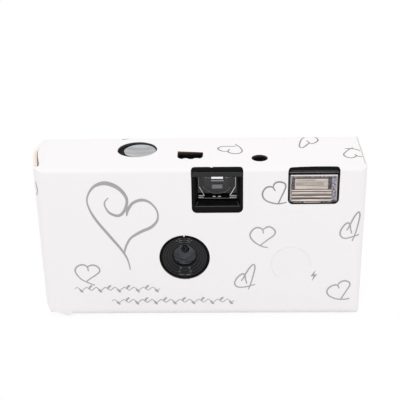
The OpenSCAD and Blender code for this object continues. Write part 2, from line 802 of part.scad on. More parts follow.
// Cartridge and film
module cartridge_shell() {
  color("silver") difference() {
    union() {
      rod_z(cart_x, cart_y, cart_r, cart_z0 + 0.4, cart_z1 - 0.4);
      box(cart_x + 6, lip_x, film_y - slot_half - lip_t, film_y + slot_half + lip_t, cart_z0 + 0.4,
        cart_z1 - 0.4);
    }
    rod_z(cart_x, cart_y, cart_r - cart_wall, 0, big);
    box(cart_x + 5, lip_x + 1, film_y - slot_half, film_y + slot_half, 0, big);
  }
}

module cartridge_cap() {
  difference() {
    rod_z(0, 0, cart_cap_r, 0, 1.3);
    rod_z(0, 0, cart_r + 0.03, -1, 0.9);
    rod_z(0, 0, core_r + 0.25, -1, 5);
    box(5, 20, 8.9, 20, -1, 0.9);
  }
}

module cartridge_top_cap() {
  color("darkgray") translate([cart_x, cart_y, cart_z1 - 1.3]) cartridge_cap();
}

module cartridge_bottom_cap() {
  color("darkgray") translate([cart_x, cart_y, cart_z0 + 1.3]) mirror([0, 0, 1]) cartridge_cap();
}

module cartridge_spool() {
  color("#303032") difference() {
    union() {
      rod_z(cart_x, cart_y, core_r, cart_z0 + 0.2, cart_z1 + hub_h);
      rod_z(cart_x, cart_y, 11, film_z0 - 1.4, film_z0 - 0.8);
      rod_z(cart_x, cart_y, 11, film_z0 + film_w + 0.8, film_z0 + film_w + 1.4);
    }
    box(cart_x - 3.5, cart_x + 3.5, cart_y - 0.9, cart_y + 0.9, cart_z1 - 0.2, big);
  }
}

module light_trap_felt() {
  color("black") for (s = [-1, 1])
    translate([0, film_y + s * (slot_half - felt_t / 2 - 0.01), 0])
      box(lip_x - 4.2, lip_x - 0.2, -felt_t / 2, felt_t / 2, film_z0 - 0.5, film_z0 + film_w + 0.5);
}

module film_strip() {
  count = floor((supply_x - lip_x - 6) / perf_pitch);
  slot = 2 * sqrt(pow(sprocket_tip_r, 2) - pow(film_front - sprocket_y, 2)) + 1;
  color("#5a4636") difference() {
    union() {
      box(cart_x + 6.9, supply_x, film_front, film_back, film_z0, film_z0 + film_w);
      translate([cart_x + 6.9, film_y, film_z0]) rotate(atan2(-3.6, -7.2) + 180)
        translate([-7.2, -film_t / 2, 0]) cube([7.25, film_t, film_w]);
    }
    for (i = [0:count], z = [perf_z, 2 * film_z - perf_z])
      translate([lip_x + 2 + i * perf_pitch, 0, 0])
        box(0, perf_l, film_y - 1, film_y + 1, z - perf_w / 2, z + perf_w / 2);
    box(sprocket_x - slot / 2, sprocket_x + slot / 2, film_y - 1, film_y + 1, perf_z - perf_w / 2,
      perf_z + perf_w / 2);
  }
}

module film_roll() {
  color("#5a4636") difference() {
    rod_z(supply_x, supply_y, roll_r, film_z0, film_z0 + film_w);
    rod_z(supply_x, supply_y, spool_core_r + 0.05, 0, big);
  }
}

module supply_spool() {
  color("#e8e4d8") union() {
    rod_z(supply_x, supply_y, spool_core_r, film_z0 - 1.5, film_z0 + film_w + 0.4);
    rod_z(supply_x, supply_y, supply_pin_r, frame_z0 + 0.2, chamber_z1 + 0.7);
  }
}

// Viewfinder
module viewfinder_lens() {
  bow = 30;
  color("lightblue") difference() {
    finder_block(finder_wall, finder_y0 + seat_gap / 2, finder_y0 + finder_lens_t + seat_gap / 2);
    translate([finder_x, finder_y0 + finder_lens_t + bow - 1.2, (finder_z0 + finder_z1) / 2])
      sphere(bow, $fn = 220);
  }
}

module tube_form(grow) {
  zc = finder_z0 + 4.8;
  hull() {
    box(finder_x - 7.2 - grow, finder_x + 7.2 + grow, tube_y0, tube_y0 + 0.1, zc - 4 - grow, zc + 4 + grow);
    box(finder_x - eye_w / 2 - grow, finder_x + eye_w / 2 + grow, tube_y1 - 0.1, tube_y1,
      eye_z - eye_h / 2 - grow, eye_z + eye_h / 2 + grow);
  }
}

module viewfinder_tube() {
  color("#202022") difference() {
    union() {
      tube_form(0.7);
      finder_block(finder_wall, tube_y0, tube_front);
    }
    tube_form(0);
  }
}

module viewfinder_eyepiece() {
  color("lightblue") box(finder_x - eye_w / 2 - 0.55, finder_x + eye_w / 2 + 0.55, tube_y1 + 0.35, in_y - 0.35,
    eye_z - eye_h / 2 - 0.55, eye_z + eye_h / 2 + 0.55);
}

// Flash
module flash_window() {
  ribs = 7;
  color("aliceblue") difference() {
    union() {
      box(flash_x - flash_w / 2, flash_x + flash_w / 2, flash_y0, flash_y1, flash_z0, flash_z1);
      box(flash_x - flash_w / 2 - 0.8, flash_x + flash_w / 2 + 0.8, flash_y1 - flash_flange, flash_y1,
        flash_z0 - 0.6, flash_z1 + 0.5);
    }
    for (i = [0:ribs - 1])
      rod_x(flash_y1 + 0.25, flash_z0 + 1 + i * (flash_h - 2) / (ribs - 1), 0.6, flash_x - flash_w / 2 + 0.8,
        flash_x + flash_w / 2 - 0.8);
  }
}

module flash_reflector() {
  color("gainsboro") difference() {
    rod_x(refl_y, flash_z, refl_r, flash_x - refl_half, flash_x + refl_half);
    rod_x(refl_y, flash_z, refl_r - refl_t, flash_x - refl_half + refl_t, flash_x + refl_half - refl_t);
    rod_x(xenon_y, flash_z, xenon_r + 0.1, 0, big);
    box(-big, big, -big, refl_y, -big, big);
  }
}

module flash_tube() {
  color("lightblue") union() {
    rod_x(xenon_y, flash_z, xenon_r, flash_x - refl_half - 1.6, flash_x + refl_half + 1.6);
    for (s = [-1, 1])
      rod_x(xenon_y, flash_z, 0.4, flash_x + s * (refl_half + 2.2) - 0.8, flash_x + s * (refl_half + 2.2) + 0.8);
  }
}

module circuit_board() {
  color("#b08a4a") difference() {
    union() {
      box(board_x0, board_x1, board_y0, board_y1, board_z0, board_z1);
      box(board_x0, flash_x - refl_half - 3.2, board_y0, board_y1, board_z1 - 1, lamp_z0 + 0.5);
    }
    rod_y(board_x0 + 2.5, board_z0 + 2.5, 1.2, -big, 0);
    rod_y(board_x1 - 2.5, board_z0 + 2.5, 1.2, -big, 0);
  }
}

module board_components() {
  color("#3a3030") {
    for (i = [1, 2]) rod_z(board_x0 + 4 * i, board_y0 - 1.2, 1.1, board_z1 - 12, board_z1 - 5);
    box(board_x0 + 12, board_x0 + 16.5, board_y0 - 2.2, board_y0 - 0.05, board_z1 - 10, board_z1 - 5.5);
    rod_z(board_x1 - 4, board_y0 - 1.1, 1, board_z1 - 10, board_z1 - 5);
    box(board_x1 - 9, board_x1 - 5.5, board_y0 - 2, board_y0 - 0.05, board_z0 + 2.5, board_z0 + 6.5);
  }
}

module flash_capacitor() {
  color("#30364a") union() {
    rod_z(cond_x, cond_y, cap_body_r, cond_z0, cond_z0 + cond_h);
    rod_z(cond_x, cond_y, cap_body_r - 0.5, cond_z0 - 0.4, cond_z0 + 0.2);
  }
}

module capacitor_leads() {
  color("silver") for (s = [-1, 1])
    translate([0, s * 1.3, 0]) union() {
      rod_z(cond_x - 1.5, board_y1 + 1.9, 0.3, cond_z0 - 1.8, cond_z0 - 0.5);
      rod_x(board_y1 + 1.9, cond_z0 - 1.8, 0.3, board_x1 - 2.5, cond_x - 1.5);
    }
}

module flash_transformer() {
  core_h = 9;
  core_z0 = board_z1 - 18.5;
  color("#8a6a2a") difference() {
    box(board_x1 - 5.6, board_x1 - 0.1, board_y1 + 0.05, board_y1 + 6, core_z0, core_z0 + core_h);
    for (z = [core_z0 - 1, core_z0 + core_h - 0.8])
      box(board_x1 - 6, board_x1 + 1, board_y1 + 1.4, board_y1 + 4.7, z, z + 1.8);
  }
}

module trigger_coil() {
  color("#7a3a2a") union() {
    rod_z(board_x1 - 3, board_y1 + 2.4, 2, board_z1 - 7.5, board_z1 - 1);
    for (z = [board_z1 - 8.1, board_z1 - 1.1]) rod_z(board_x1 - 3, board_y1 + 2.4, 2.3, z, z + 0.7);
  }
}

module flash_button() {
  color("#303032") union() {
    rod_y(button_x, button_z, button_r, button_face, -in_y + 0.8);
    rod_y(button_x, button_z, button_r + 0.8, -in_y + seat_gap, -in_y + 0.8);
    rod_y(button_x, button_z, 1.5, -in_y + 0.5, board_y0 - 0.38 - button_travel - seat_gap);
  }
}

module flash_switch_leaf() {
  y1 = board_y0 - 0.03;
  color("gold") union() {
    box(button_x - 7, button_x - 4.5, y1 - 0.2, y1, button_z - 2, button_z + 2);
    box(button_x - 5, button_x + 4, y1 - 0.35, y1 - 0.15, button_z - 1.5, button_z + 1.5);
  }
}

module sync_contact() {
  color("gold") box(lens_x + 8, board_x0 + 1.2, board_y1 + 0.03, board_y1 + 0.33, gate_z1 + 2.4, gate_z1 + 4.4);
}

module ready_lamp() {
  color("#c8b8a8") union() {
    rod_z(lamp_x, lamp_y, lamp_r, lamp_z0, in_z1 - 1.2);
    translate([lamp_x, lamp_y, in_z1 - 1.2]) sphere(lamp_r);
  }
}

module lamp_leads() {
  color("silver") for (s = [-1, 1]) union() {
    rod_z(lamp_x + s * 0.8, lamp_y, 0.25, lamp_z0 - 2.2, lamp_z0 - 0.05);
    rod_y(lamp_x + s * 0.8, lamp_z0 - 2.2, 0.25, board_y1 + 0.05, lamp_y + 0.25);
  }
}

// Cell and contacts
module aa_cell() {
  color("gold") union() {
    rod_z(cell_x, cell_y, cell_r, cell_z0, cell_z0 + cell_h - cell_nub_h);
    rod_z(cell_x, cell_y, cell_nub_r, cell_z0 + cell_h - cell_nub_h - 0.1, cell_z0 + cell_h);
  }
}

module cell_top_contact() {
  z = cell_z0 + cell_h + 0.1;
  color("silver") union() {
    box(cell_x - 4, cell_x + 6.6, cell_y - 3, in_y - 0.1, z, z + 0.4);
    box(cell_x + 4, cell_x + 6.6, in_y - 0.5, in_y - 0.1, z - 8, z + 0.2);
  }
}

module cell_spring() {
  color("silver") union() {
    translate([cell_x, cell_y, in_z0 + 0.35]) ring_stack(3.6, 0.35, 3);
    box(cell_x - 5, cell_x + 5, cell_y - 5, cell_y + 5, in_z0 + 0.05, in_z0 + 0.45);
  }
}

card_wrap();
card_end_left();
card_end_right();
card_flash_tab();
front_cover();
back_cover();
main_frame();
lens_ring();
taking_lens();
lens_seat();
aperture_plate();
shutter_blade();
blade_spring();
striker_lever();
striker_spring();
release_button();
release_lever();
film_sprocket();
counter_dial();
counter_window();
thumb_wheel();
ratchet_pawl();
cartridge_shell();
cartridge_top_cap();
cartridge_bottom_cap();
cartridge_spool();
light_trap_felt();
film_strip();
film_roll();
supply_spool();
viewfinder_lens();
viewfinder_tube();
viewfinder_eyepiece();
flash_window();
flash_reflector();
flash_tube();
circuit_board();
board_components();
flash_capacitor();
capacitor_leads();
flash_transformer();
trigger_coil();
flash_button();
flash_switch_leaf();
sync_contact();
ready_lamp();
lamp_leads();
aa_cell();
cell_top_contact();
cell_spring();
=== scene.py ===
"""Looks of a disposable film camera: card wrap with printed hearts, black moulded body, lens, viewfinder
and flash."""
import math

import bmesh
import bpy
from bpy.props import FloatProperty, FloatVectorProperty, PointerProperty
from mathutils import Matrix, Vector


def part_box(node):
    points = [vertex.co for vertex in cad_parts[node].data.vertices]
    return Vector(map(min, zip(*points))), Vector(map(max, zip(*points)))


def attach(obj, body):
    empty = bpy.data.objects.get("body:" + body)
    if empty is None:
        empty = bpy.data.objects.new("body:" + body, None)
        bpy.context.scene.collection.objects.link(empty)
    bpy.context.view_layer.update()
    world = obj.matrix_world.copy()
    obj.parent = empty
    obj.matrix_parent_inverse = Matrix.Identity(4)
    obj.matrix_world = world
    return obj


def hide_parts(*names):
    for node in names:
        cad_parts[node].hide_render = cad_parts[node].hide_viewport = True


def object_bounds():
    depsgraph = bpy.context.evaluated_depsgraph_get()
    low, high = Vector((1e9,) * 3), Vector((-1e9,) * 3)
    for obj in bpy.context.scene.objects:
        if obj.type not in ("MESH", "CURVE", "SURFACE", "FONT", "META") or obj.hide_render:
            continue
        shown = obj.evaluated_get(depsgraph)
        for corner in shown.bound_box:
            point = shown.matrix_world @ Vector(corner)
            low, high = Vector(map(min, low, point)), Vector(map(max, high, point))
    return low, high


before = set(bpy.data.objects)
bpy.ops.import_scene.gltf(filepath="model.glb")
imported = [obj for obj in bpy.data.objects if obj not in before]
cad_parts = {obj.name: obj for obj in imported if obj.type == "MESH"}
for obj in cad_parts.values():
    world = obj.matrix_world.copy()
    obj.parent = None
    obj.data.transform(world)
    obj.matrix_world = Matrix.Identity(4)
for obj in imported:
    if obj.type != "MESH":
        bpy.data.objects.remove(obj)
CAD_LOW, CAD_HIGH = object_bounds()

bl_info = {
    "name": "Disposable film camera",
    "version": (1, 0, 0),
    "blender": (4, 5, 0),
    "location": "3D view, sidebar, Film camera",
    "description": "Dresses the packed solids of a disposable film camera",
    "category": "Object",
}

MM = 0.001
FRONT, BACK, TOP = CAD_LOW.y, CAD_HIGH.y, CAD_HIGH.z
SHELL_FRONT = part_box("front_cover")[0].y
# Radii of the card's folds, of the corners of its front openings, and its thickness.
FRONT_FOLD, REAR_FOLD, LEFT_FOLD = 1.5 * MM, 3.5 * MM, 4.0 * MM
OPENING_ROUND, CARD = 1.8 * MM, 0.5 * MM
# Each pen stroke lies this much above the one before, so that none flickers where they cross.
INK_LAYER = 0.004 * MM
# Stepped funnel of the lens ring: outer and inner radius, depth and number of steps.
FUNNEL_R, BORE_R, FUNNEL_DEEP, FUNNEL_STEPS = 8.05 * MM, 4.2 * MM, 1.3 * MM, 8
# Numbers on the counter dial: how many, the step from one to the next, and their radius.
DIAL_COUNT, DIAL_STEP, DIAL_R = 10, 3, 7.6 * MM


def middle(node):
    """Middle of a node's box."""
    low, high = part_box(node)
    return (low + high) / 2


def linear(code):
    """Linear RGBA of an sRGB hex colour."""
    parts = [int(code[i:i + 2], 16) / 255 for i in (1, 3, 5)]
    return tuple(c / 12.92 if c <= 0.04045 else ((c + 0.055) / 1.055) ** 2.4 for c in parts) + (1.0,)


def colour(label, about, code):
    """Colour property that starts from a hex value."""
    return FloatVectorProperty(name=label, description=about, default=linear(code), size=4, subtype="COLOR",
                               min=0.0, max=1.0)


def length(label, about, metres):
    """Length property in metres."""
    return FloatProperty(name=label, description=about, default=metres, unit="LENGTH", precision=5)


class CardLook(bpy.types.PropertyGroup):
    """Card wrap and its print."""
    white: colour("Card white", "Coated face of the card", "#F5F2F3")
    core: colour("Card core", "Cut edge of the card, where the uncoated core shows", "#EEDACB")
    ink: colour("Silver ink", "Printed hearts and ornaments", "#A8A8AB")
    ink_lift: length("Ink height", "How far the ink stands on the card", 0.03 * MM)
    big_pen: length("Broad pen", "Widest stroke of the large heart", 1.5 * MM)
    small_pen: length("Fine pen", "Widest stroke of the small hearts", 0.58 * MM)
    bow: length("Flap bow", "How far the left end flap stands out", 1.9 * MM)


class BodyLook(bpy.types.PropertyGroup):
    """Moulded body, lens, viewfinder and flash."""
    black: colour("Black plastic", "Moulded covers, lens ring and frames", "#131315")
    silver: colour("Silver plastic", "Release button", "#B4B6B9")
    clear: colour("Clear plastic", "Viewfinder, window and lens mouldings", "#F1F4F6")
    warm: colour("Flash reflector", "Bright reflector behind the flash window", "#E9D9CC")


class StageLook(bpy.types.PropertyGroup):
    """Floor, lamps and camera."""
    distance: length("Camera distance", "From the camera to its aim", 0.3517)
    elevation: FloatProperty(name="Camera height angle", description="Above the horizon", subtype="ANGLE",
                             default=math.radians(26.62))
    azimuth: FloatProperty(name="Camera side angle", description="To the right of straight ahead",
                           subtype="ANGLE",
                           default=math.radians(1.66))
    roll: FloatProperty(name="Camera roll", description="About the line of sight", subtype="ANGLE",
                        default=math.radians(-1.16))
    aim_x: length("Aim, sideways", "Sideways place of the camera's aim", -0.28 * MM)
    aim_z: length("Aim, height", "Height of the camera's aim", 40.62 * MM)
    focal: FloatProperty(name="Focal length", description="On a sensor 36 mm wide", default=86.4,
                         subtype="DISTANCE_CAMERA")
    key: FloatProperty(name="Key lamp", description="Power of the soft lamp above", default=0.28,
                       unit="POWER")
    fill: FloatProperty(name="Front lamp", description="Power of the soft lamp in front", default=0.075,
                        unit="POWER")
    air: FloatProperty(name="Room light", description="Strength of the even light from all round",
                       default=0.99, min=0.0)


def add(tree, kind, inputs=None, **settings):
    """Adds a node, sets its settings, and gives each named input a value or a link."""
    made = tree.nodes.new("ShaderNode" + kind)
    for key, value in settings.items():
        setattr(made, key, value)
    for key, value in (inputs or {}).items():
        if isinstance(value, bpy.types.NodeSocket):
            tree.links.new(value, made.inputs[key])
        else:
            made.inputs[key].default_value = value
    return made


def blank(name):
    """New material with an empty tree."""
    material = bpy.data.materials.new(name)
    material.use_nodes = True
    material.node_tree.nodes.clear()
    return material, material.node_tree


def close(material, tree, shader):
    """Ends a tree in its output."""
    add(tree, "OutputMaterial", {"Surface": shader.outputs[0]})
    return material


def per_mm(size):
    """Texture scale whose features are this many millimetres across."""
    return 1.0 / (size * MM)


def shaded(code, factor):
    """Colour made lighter or darker by a factor."""
    return tuple(min(1.0, c * factor) for c in code[:3]) + (1.0,)


def grained(name, base, grain, vary=0.12, rough=0.5, spread=0.1, relief=0.01, stretch=(1, 1, 1), crisp=0.5,
            **sockets):
    """Material with a grain of real size: colour, gloss and relief follow one noise. A smaller crisp has
    harder patches."""
    material, tree = blank(name)
    place = add(tree, "TexCoord")
    scaled = add(tree, "Mapping", {"Vector": place.outputs["Object"], "Scale": stretch})
    noise = add(tree, "TexNoise", {"Vector": scaled.outputs[0], "Scale": per_mm(grain), "Detail": 3.0})
    patch = add(tree, "MapRange", {"Value": noise.outputs["Fac"], "From Min": 0.5 - crisp,
                                   "From Max": 0.5 + crisp})
    tint = add(tree, "Mix", {0: patch.outputs[0], 6: shaded(base, 1 - vary), 7: shaded(base, 1 + vary)},
               data_type="RGBA")
    gloss = add(tree, "MapRange", {"Value": noise.outputs["Fac"], "To Min": rough - spread,
                                   "To Max": rough + spread})
    bump = add(tree, "Bump", {"Height": noise.outputs["Fac"], "Distance": relief * MM, "Strength": 0.6})
    shader = add(tree, "BsdfPrincipled", {"Base Color": tint.outputs[2], "Roughness": gloss.outputs[0],
                                          "Normal": bump.outputs[0], **sockets})
    return close(material, tree, shader)


def coated_card(look):
    """Folding boxboard, clay coated and varnished: even white with a soft sheen, faint fibres, warm cut
    edges."""
    material, tree = blank("coated_boxboard")
    place = add(tree, "TexCoord")
    spot = add(tree, "NewGeometry")
    # Fibres are about 0.4 mm wide under the coating, and the sheet waves softly over some 25 mm.
    fibre = add(tree, "TexNoise", {"Vector": place.outputs["Object"], "Scale": per_mm(0.4), "Detail": 4.0})
    wave = add(tree, "TexNoise", {"Vector": place.outputs["Object"], "Scale": per_mm(25), "Detail": 1.0})
    tone = add(tree, "MapRange", {"Value": wave.outputs["Fac"], "To Min": 0.0, "To Max": 1.0})
    white = add(tree, "Mix", {0: tone.outputs[0], 6: shaded(look.white, 0.985), 7: look.white[:]},
                data_type="RGBA")
    # A cut edge of the front panel faces along the panel. Round the tab it stays white.
    where = add(tree, "SeparateXYZ", {0: spot.outputs["Position"]})
    faces = add(tree, "SeparateXYZ", {0: spot.outputs["Normal"]})
    along_y = add(tree, "Math", {0: faces.outputs["Y"]}, operation="ABSOLUTE")
    in_front = add(tree, "Math", {0: where.outputs["Y"], 1: FRONT + 0.55 * MM}, operation="LESS_THAN")
    below = add(tree, "Math", {0: where.outputs["Z"], 1: TOP - 2.0 * MM}, operation="LESS_THAN")
    above = add(tree, "Math", {0: where.outputs["Z"], 1: 3.5 * MM}, operation="GREATER_THAN")
    away = add(tree, "Math", {0: where.outputs["X"]}, operation="ABSOLUTE")
    inside = add(tree, "Math", {0: away.outputs[0], 1: CAD_HIGH.x - 4.5 * MM}, operation="LESS_THAN")
    across = add(tree, "Math", {0: along_y.outputs[0], 1: 0.5}, operation="LESS_THAN")
    cut = across
    for limit in (in_front, below, above, inside):
        cut = add(tree, "Math", {0: cut.outputs[0], 1: limit.outputs[0]}, operation="MULTIPLY")
    tab = middle("flash_button")
    off_tab = add(tree, "VectorMath", {0: spot.outputs["Position"], 1: (tab.x, FRONT, tab.z)},
                  operation="DISTANCE")
    clear_of_tab = add(tree, "Math", {0: off_tab.outputs["Value"], 1: 8.5 * MM}, operation="GREATER_THAN")
    cut = add(tree, "Math", {0: cut.outputs[0], 1: clear_of_tab.outputs[0]}, operation="MULTIPLY")
    tint = add(tree, "Mix", {0: cut.outputs[0], 6: white.outputs[2], 7: look.core[:]}, data_type="RGBA")
    gloss = add(tree, "MapRange", {"Value": fibre.outputs["Fac"], "To Min": 0.42, "To Max": 0.56})
    soft = add(tree, "Bump", {"Height": wave.outputs["Fac"], "Distance": 0.25 * MM, "Strength": 0.35})
    fine = add(tree, "Bump", {"Height": fibre.outputs["Fac"], "Distance": 0.006 * MM, "Strength": 0.5,
                              "Normal": soft.outputs[0]})
    shader = add(tree, "BsdfPrincipled", {"Base Color": tint.outputs[2], "Roughness": gloss.outputs[0],
                                          "IOR": 1.5, "Specular IOR Level": 0.35,
                                          "Normal": fine.outputs[0]})
    return close(material, tree, shader)


def flap_card(look, bare_edge=True):
    """The same boxboard at flaps and narrow strips. A bare upper edge shows the warm uncoated core towards
    the front."""
    material, tree = blank("boxboard_bare_edge" if bare_edge else "boxboard_strip")
    place = add(tree, "TexCoord")
    fibre = add(tree, "TexNoise", {"Vector": place.outputs["Object"], "Scale": per_mm(0.4), "Detail": 4.0})
    pale = add(tree, "Mix", {0: fibre.outputs["Fac"], 6: shaded(look.white, 0.97), 7: look.white[:]},
               data_type="RGBA")
    tint = pale
    if bare_edge:
        spot = add(tree, "NewGeometry")
        where = add(tree, "SeparateXYZ", {0: spot.outputs["Position"]})
        near = add(tree, "MapRange", {"Value": where.outputs["Z"], "From Min": TOP - 0.3 * MM,
                                      "From Max": TOP - 0.1 * MM})
        ahead = add(tree, "MapRange", {"Value": where.outputs["Y"], "From Min": 6 * MM, "From Max": 0.0})
        side = add(tree, "MapRange", {"Value": where.outputs["X"], "From Min": CAD_LOW.x,
                                      "From Max": CAD_HIGH.x,
                                      "To Min": 0.25, "To Max": 0.3})
        warm = add(tree, "Math", {0: near.outputs[0], 1: ahead.outputs[0]}, operation="MULTIPLY")
        warm = add(tree, "Math", {0: warm.outputs[0], 1: side.outputs[0]}, operation="MULTIPLY")
        speck = add(tree, "Mix", {0: fibre.outputs["Fac"], 6: shaded(look.core, 0.9),
                                  7: shaded(look.core, 1.06)},
                    data_type="RGBA")
        tint = add(tree, "Mix", {0: warm.outputs[0], 6: pale.outputs[2], 7: speck.outputs[2]},
                   data_type="RGBA")
    bump = add(tree, "Bump", {"Height": fibre.outputs["Fac"], "Distance": 0.01 * MM, "Strength": 0.5})
    shader = add(tree, "BsdfPrincipled", {"Base Color": tint.outputs[2], "Roughness": 0.55, "IOR": 1.5,
                                          "Specular IOR Level": 0.3, "Normal": bump.outputs[0]})
    return close(material, tree, shader)


def silver_ink(name, base):
    """Silver offset ink: fine aluminium flake in a dull varnish, so a mid grey that mottles over a few
    millimetres."""
    material, tree = blank(name)
    place = add(tree, "TexCoord")
    # Flake is far too fine to see, so the speckle is drawn at 0.15 mm.
    flake = add(tree, "TexNoise", {"Vector": place.outputs["Object"], "Scale": per_mm(0.15), "Detail": 2.0})
    cloud = add(tree, "TexNoise", {"Vector": place.outputs["Object"], "Scale": per_mm(7), "Detail": 2.0})
    deep = add(tree, "Mix", {0: cloud.outputs["Fac"], 6: shaded(base, 0.78), 7: shaded(base, 1.2)},
               data_type="RGBA")
    tint = add(tree, "Mix", {0: flake.outputs["Fac"], 6: deep.outputs[2], 7: shaded(base, 1.05)},
               data_type="RGBA")
    gloss = add(tree, "MapRange", {"Value": flake.outputs["Fac"], "To Min": 0.38, "To Max": 0.6})
    shader = add(tree, "BsdfPrincipled", {"Base Color": tint.outputs[2], "Roughness": gloss.outputs[0],
                                          "Metallic": 0.2, "IOR": 1.5})
    return close(material, tree, shader)


def clear_moulding(name, tint, rough=0.03, ripple=0.02, size=2.5, **sockets):
    """Acrylic moulding: water clear, with the faint sink marks that bend what is seen through it."""
    material, tree = blank(name)
    place = add(tree, "TexCoord")
    sink = add(tree, "TexNoise", {"Vector": place.outputs["Object"], "Scale": per_mm(size), "Detail": 1.0})
    bump = add(tree, "Bump", {"Height": sink.outputs["Fac"], "Distance": ripple * MM, "Strength": 0.4})
    gloss = add(tree, "MapRange", {"Value": sink.outputs["Fac"], "To Min": rough * 0.6,
                                   "To Max": rough * 1.4})
    shader = add(tree, "BsdfPrincipled",
                 {"Base Color": tint[:], "Roughness": gloss.outputs[0], "Transmission Weight": 1.0,
                                          "Normal": bump.outputs[0], "IOR": 1.49, **sockets})
    return close(material, tree, shader)


def seen_plainly(tree):
    """Socket that is 1 for what the camera, gloss and glass see, and 0 for light on its way round the
    room."""
    path = add(tree, "LightPath")
    seen = path.outputs["Is Camera Ray"]
    for name in ("Is Glossy Ray", "Is Transmission Ray"):
        seen = add(tree, "Math", {0: seen, 1: path.outputs[name]}, operation="MAXIMUM").outputs[0]
    return seen


def sheen(ior, level):
    """Shader inputs of a surface's gloss: its index of refraction and how much of the mirror image
    shows."""
    return {"IOR": ior, "Specular IOR Level": level}


def dress(material, *nodes):
    """Gives CAD nodes a material."""
    for name in nodes:
        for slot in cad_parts[name].material_slots:
            slot.material = material


def piece(name, points, faces, material, body, slot, bevel=0.0, smooth=False):
    """Mesh piece from points in metres, riding on a body."""
    mesh = bpy.data.meshes.new(name)
    mesh.from_pydata([tuple(p) for p in points], [], faces)
    tidy = bmesh.new()
    tidy.from_mesh(mesh)
    bmesh.ops.recalc_face_normals(tidy, faces=tidy.faces)
    tidy.to_mesh(mesh)
    tidy.free()
    mesh.update()
    made = bpy.data.objects.new(name, mesh)
    bpy.context.scene.collection.objects.link(made)
    made.data.materials.append(material)
    if smooth:
        mesh.shade_smooth()
    if bevel:
        edge = made.modifiers.new("edge", "BEVEL")
        edge.width = bevel
        edge.segments = 2
        edge.limit_method = "ANGLE"
    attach(made, body)
    return made


def over_shell(nodes, x0, x1, z1, lift):
    """Points and faces of a sheet that lies close on the outside of some nodes, between x0 and x1 and
    below z1."""
    sheet = bmesh.new()
    for node in nodes:
        sheet.from_mesh(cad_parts[node].data)
    for spot, way in (((x0, 0, 0), (-1, 0, 0)), ((x1, 0, 0), (1, 0, 0)), ((0, 0, z1), (0, 0, 1))):
        bmesh.ops.bisect_plane(sheet, geom=sheet.verts[:] + sheet.edges[:] + sheet.faces[:], plane_co=spot,
                               plane_no=way,
                               clear_outer=True)
    bmesh.ops.remove_doubles(sheet, verts=sheet.verts, dist=0.002 * MM)
    heart = Vector(((x0 + x1) / 2 * 0.9, 0, z1))
    inner = [f for f in sheet.faces if f.normal.dot(f.calc_center_median() - heart) < 0.3 * MM]
    bmesh.ops.delete(sheet, geom=inner, context="FACES")
    sheet.normal_update()
    sheet.verts.index_update()
    points = [v.co + v.normal * lift for v in sheet.verts]
    faces = [tuple(v.index for v in f.verts) for f in sheet.faces]
    sheet.free()
    return points, faces


def prism(points, count):
    """Points and faces of a solid whose two ends have that many points each."""
    faces = [(i, (i + 1) % count, count + (i + 1) % count, count + i) for i in range(count)]
    return points, faces + [tuple(range(count)), tuple(range(count, 2 * count))]


def bar(profile, x0, x1):
    """Points and faces of a bar along X with a profile of (y, z) points in metres."""
    return prism([Vector((x, y, z)) for x in (x0, x1) for y, z in profile], len(profile))


def post(profile, z0, z1):
    """Points and faces of a post along Z with a profile of (x, y) points in metres."""
    return prism([Vector((x, y, z)) for z in (z0, z1) for x, y in profile], len(profile))


def between(outer, inner, z0, z1):
    """Points and faces of a flat solid between two lines of (x, y) points in metres, from height z0 to
    z1."""
    count = len(outer)
    points = [Vector((x, y, z)) for z in (z0, z1) for line in (outer, inner) for x, y in line]
    rim = list(range(count)) + list(range(2 * count - 1, count - 1, -1))
    faces = [(base + i, base + i + 1, base + count + i + 1, base + count + i) for base in (0, 2 * count)
             for i in range(count - 1)]
    return points, faces + [(a, b, b + 2 * count, a + 2 * count) for a, b in zip(rim, rim[1:] + rim[:1])]


def joined(*parts):
    """One list of points and faces from several."""
    points, faces = [], []
    for more_points, more_faces in parts:
        shift = len(points)
        points += list(more_points)
        faces += [tuple(i + shift for i in face) for face in more_faces]
    return points, faces


def smooth_path(points, steps=9):
    """Even curve through a few points."""
    ends = [points[0]] + list(points) + [points[-1]]
    path = []
    for a, b, c, d in zip(ends, ends[1:], ends[2:], ends[3:]):
        for k in range(steps):
            t = k / steps
            path.append(tuple(0.5 * (2 * q + (r - p) * t + (2 * p - 5 * q + 4 * r - s) * t * t
                                     + (3 * q - p - 3 * r + s) * t ** 3) for p, q, r, s in zip(a, b, c, d)))
    return path + [tuple(points[-1])]


def pen_stroke(points, pen, thin=0.35, swells=1.0, steps=9):
    """Flat stroke along a curve. The pen is thin at both ends and swells in between, unless points carry a
    width."""
    path = smooth_path(points, steps)
    count = len(path)
    left, right = [], []
    for i, (x, y, *width) in enumerate(path):
        before, after = path[max(i - 1, 0)], path[min(i + 1, count - 1)]
        run = math.hypot(after[0] - before[0], after[1] - before[1]) or 1.0
        nx, ny = -(after[1] - before[1]) / run, (after[0] - before[0]) / run
        t = i / (count - 1)
        press = min(1.0, math.sin(math.pi * min(max(t, 0.02), 0.98)) * 1.6)
        swell = 0.7 + 0.3 * math.cos(2 * math.pi * swells * (t - 0.3))
        half = pen / 2 * (thin + (1 - thin) * press * swell)
        if width:
            half = width[0] * pen / 2
        left.append((x + nx * half, y + ny * half))
        right.append((x - nx * half, y - ny * half))
    faces = [(i, i + 1, count + i + 1, count + i) for i in range(count - 1)]
    return left + right, faces


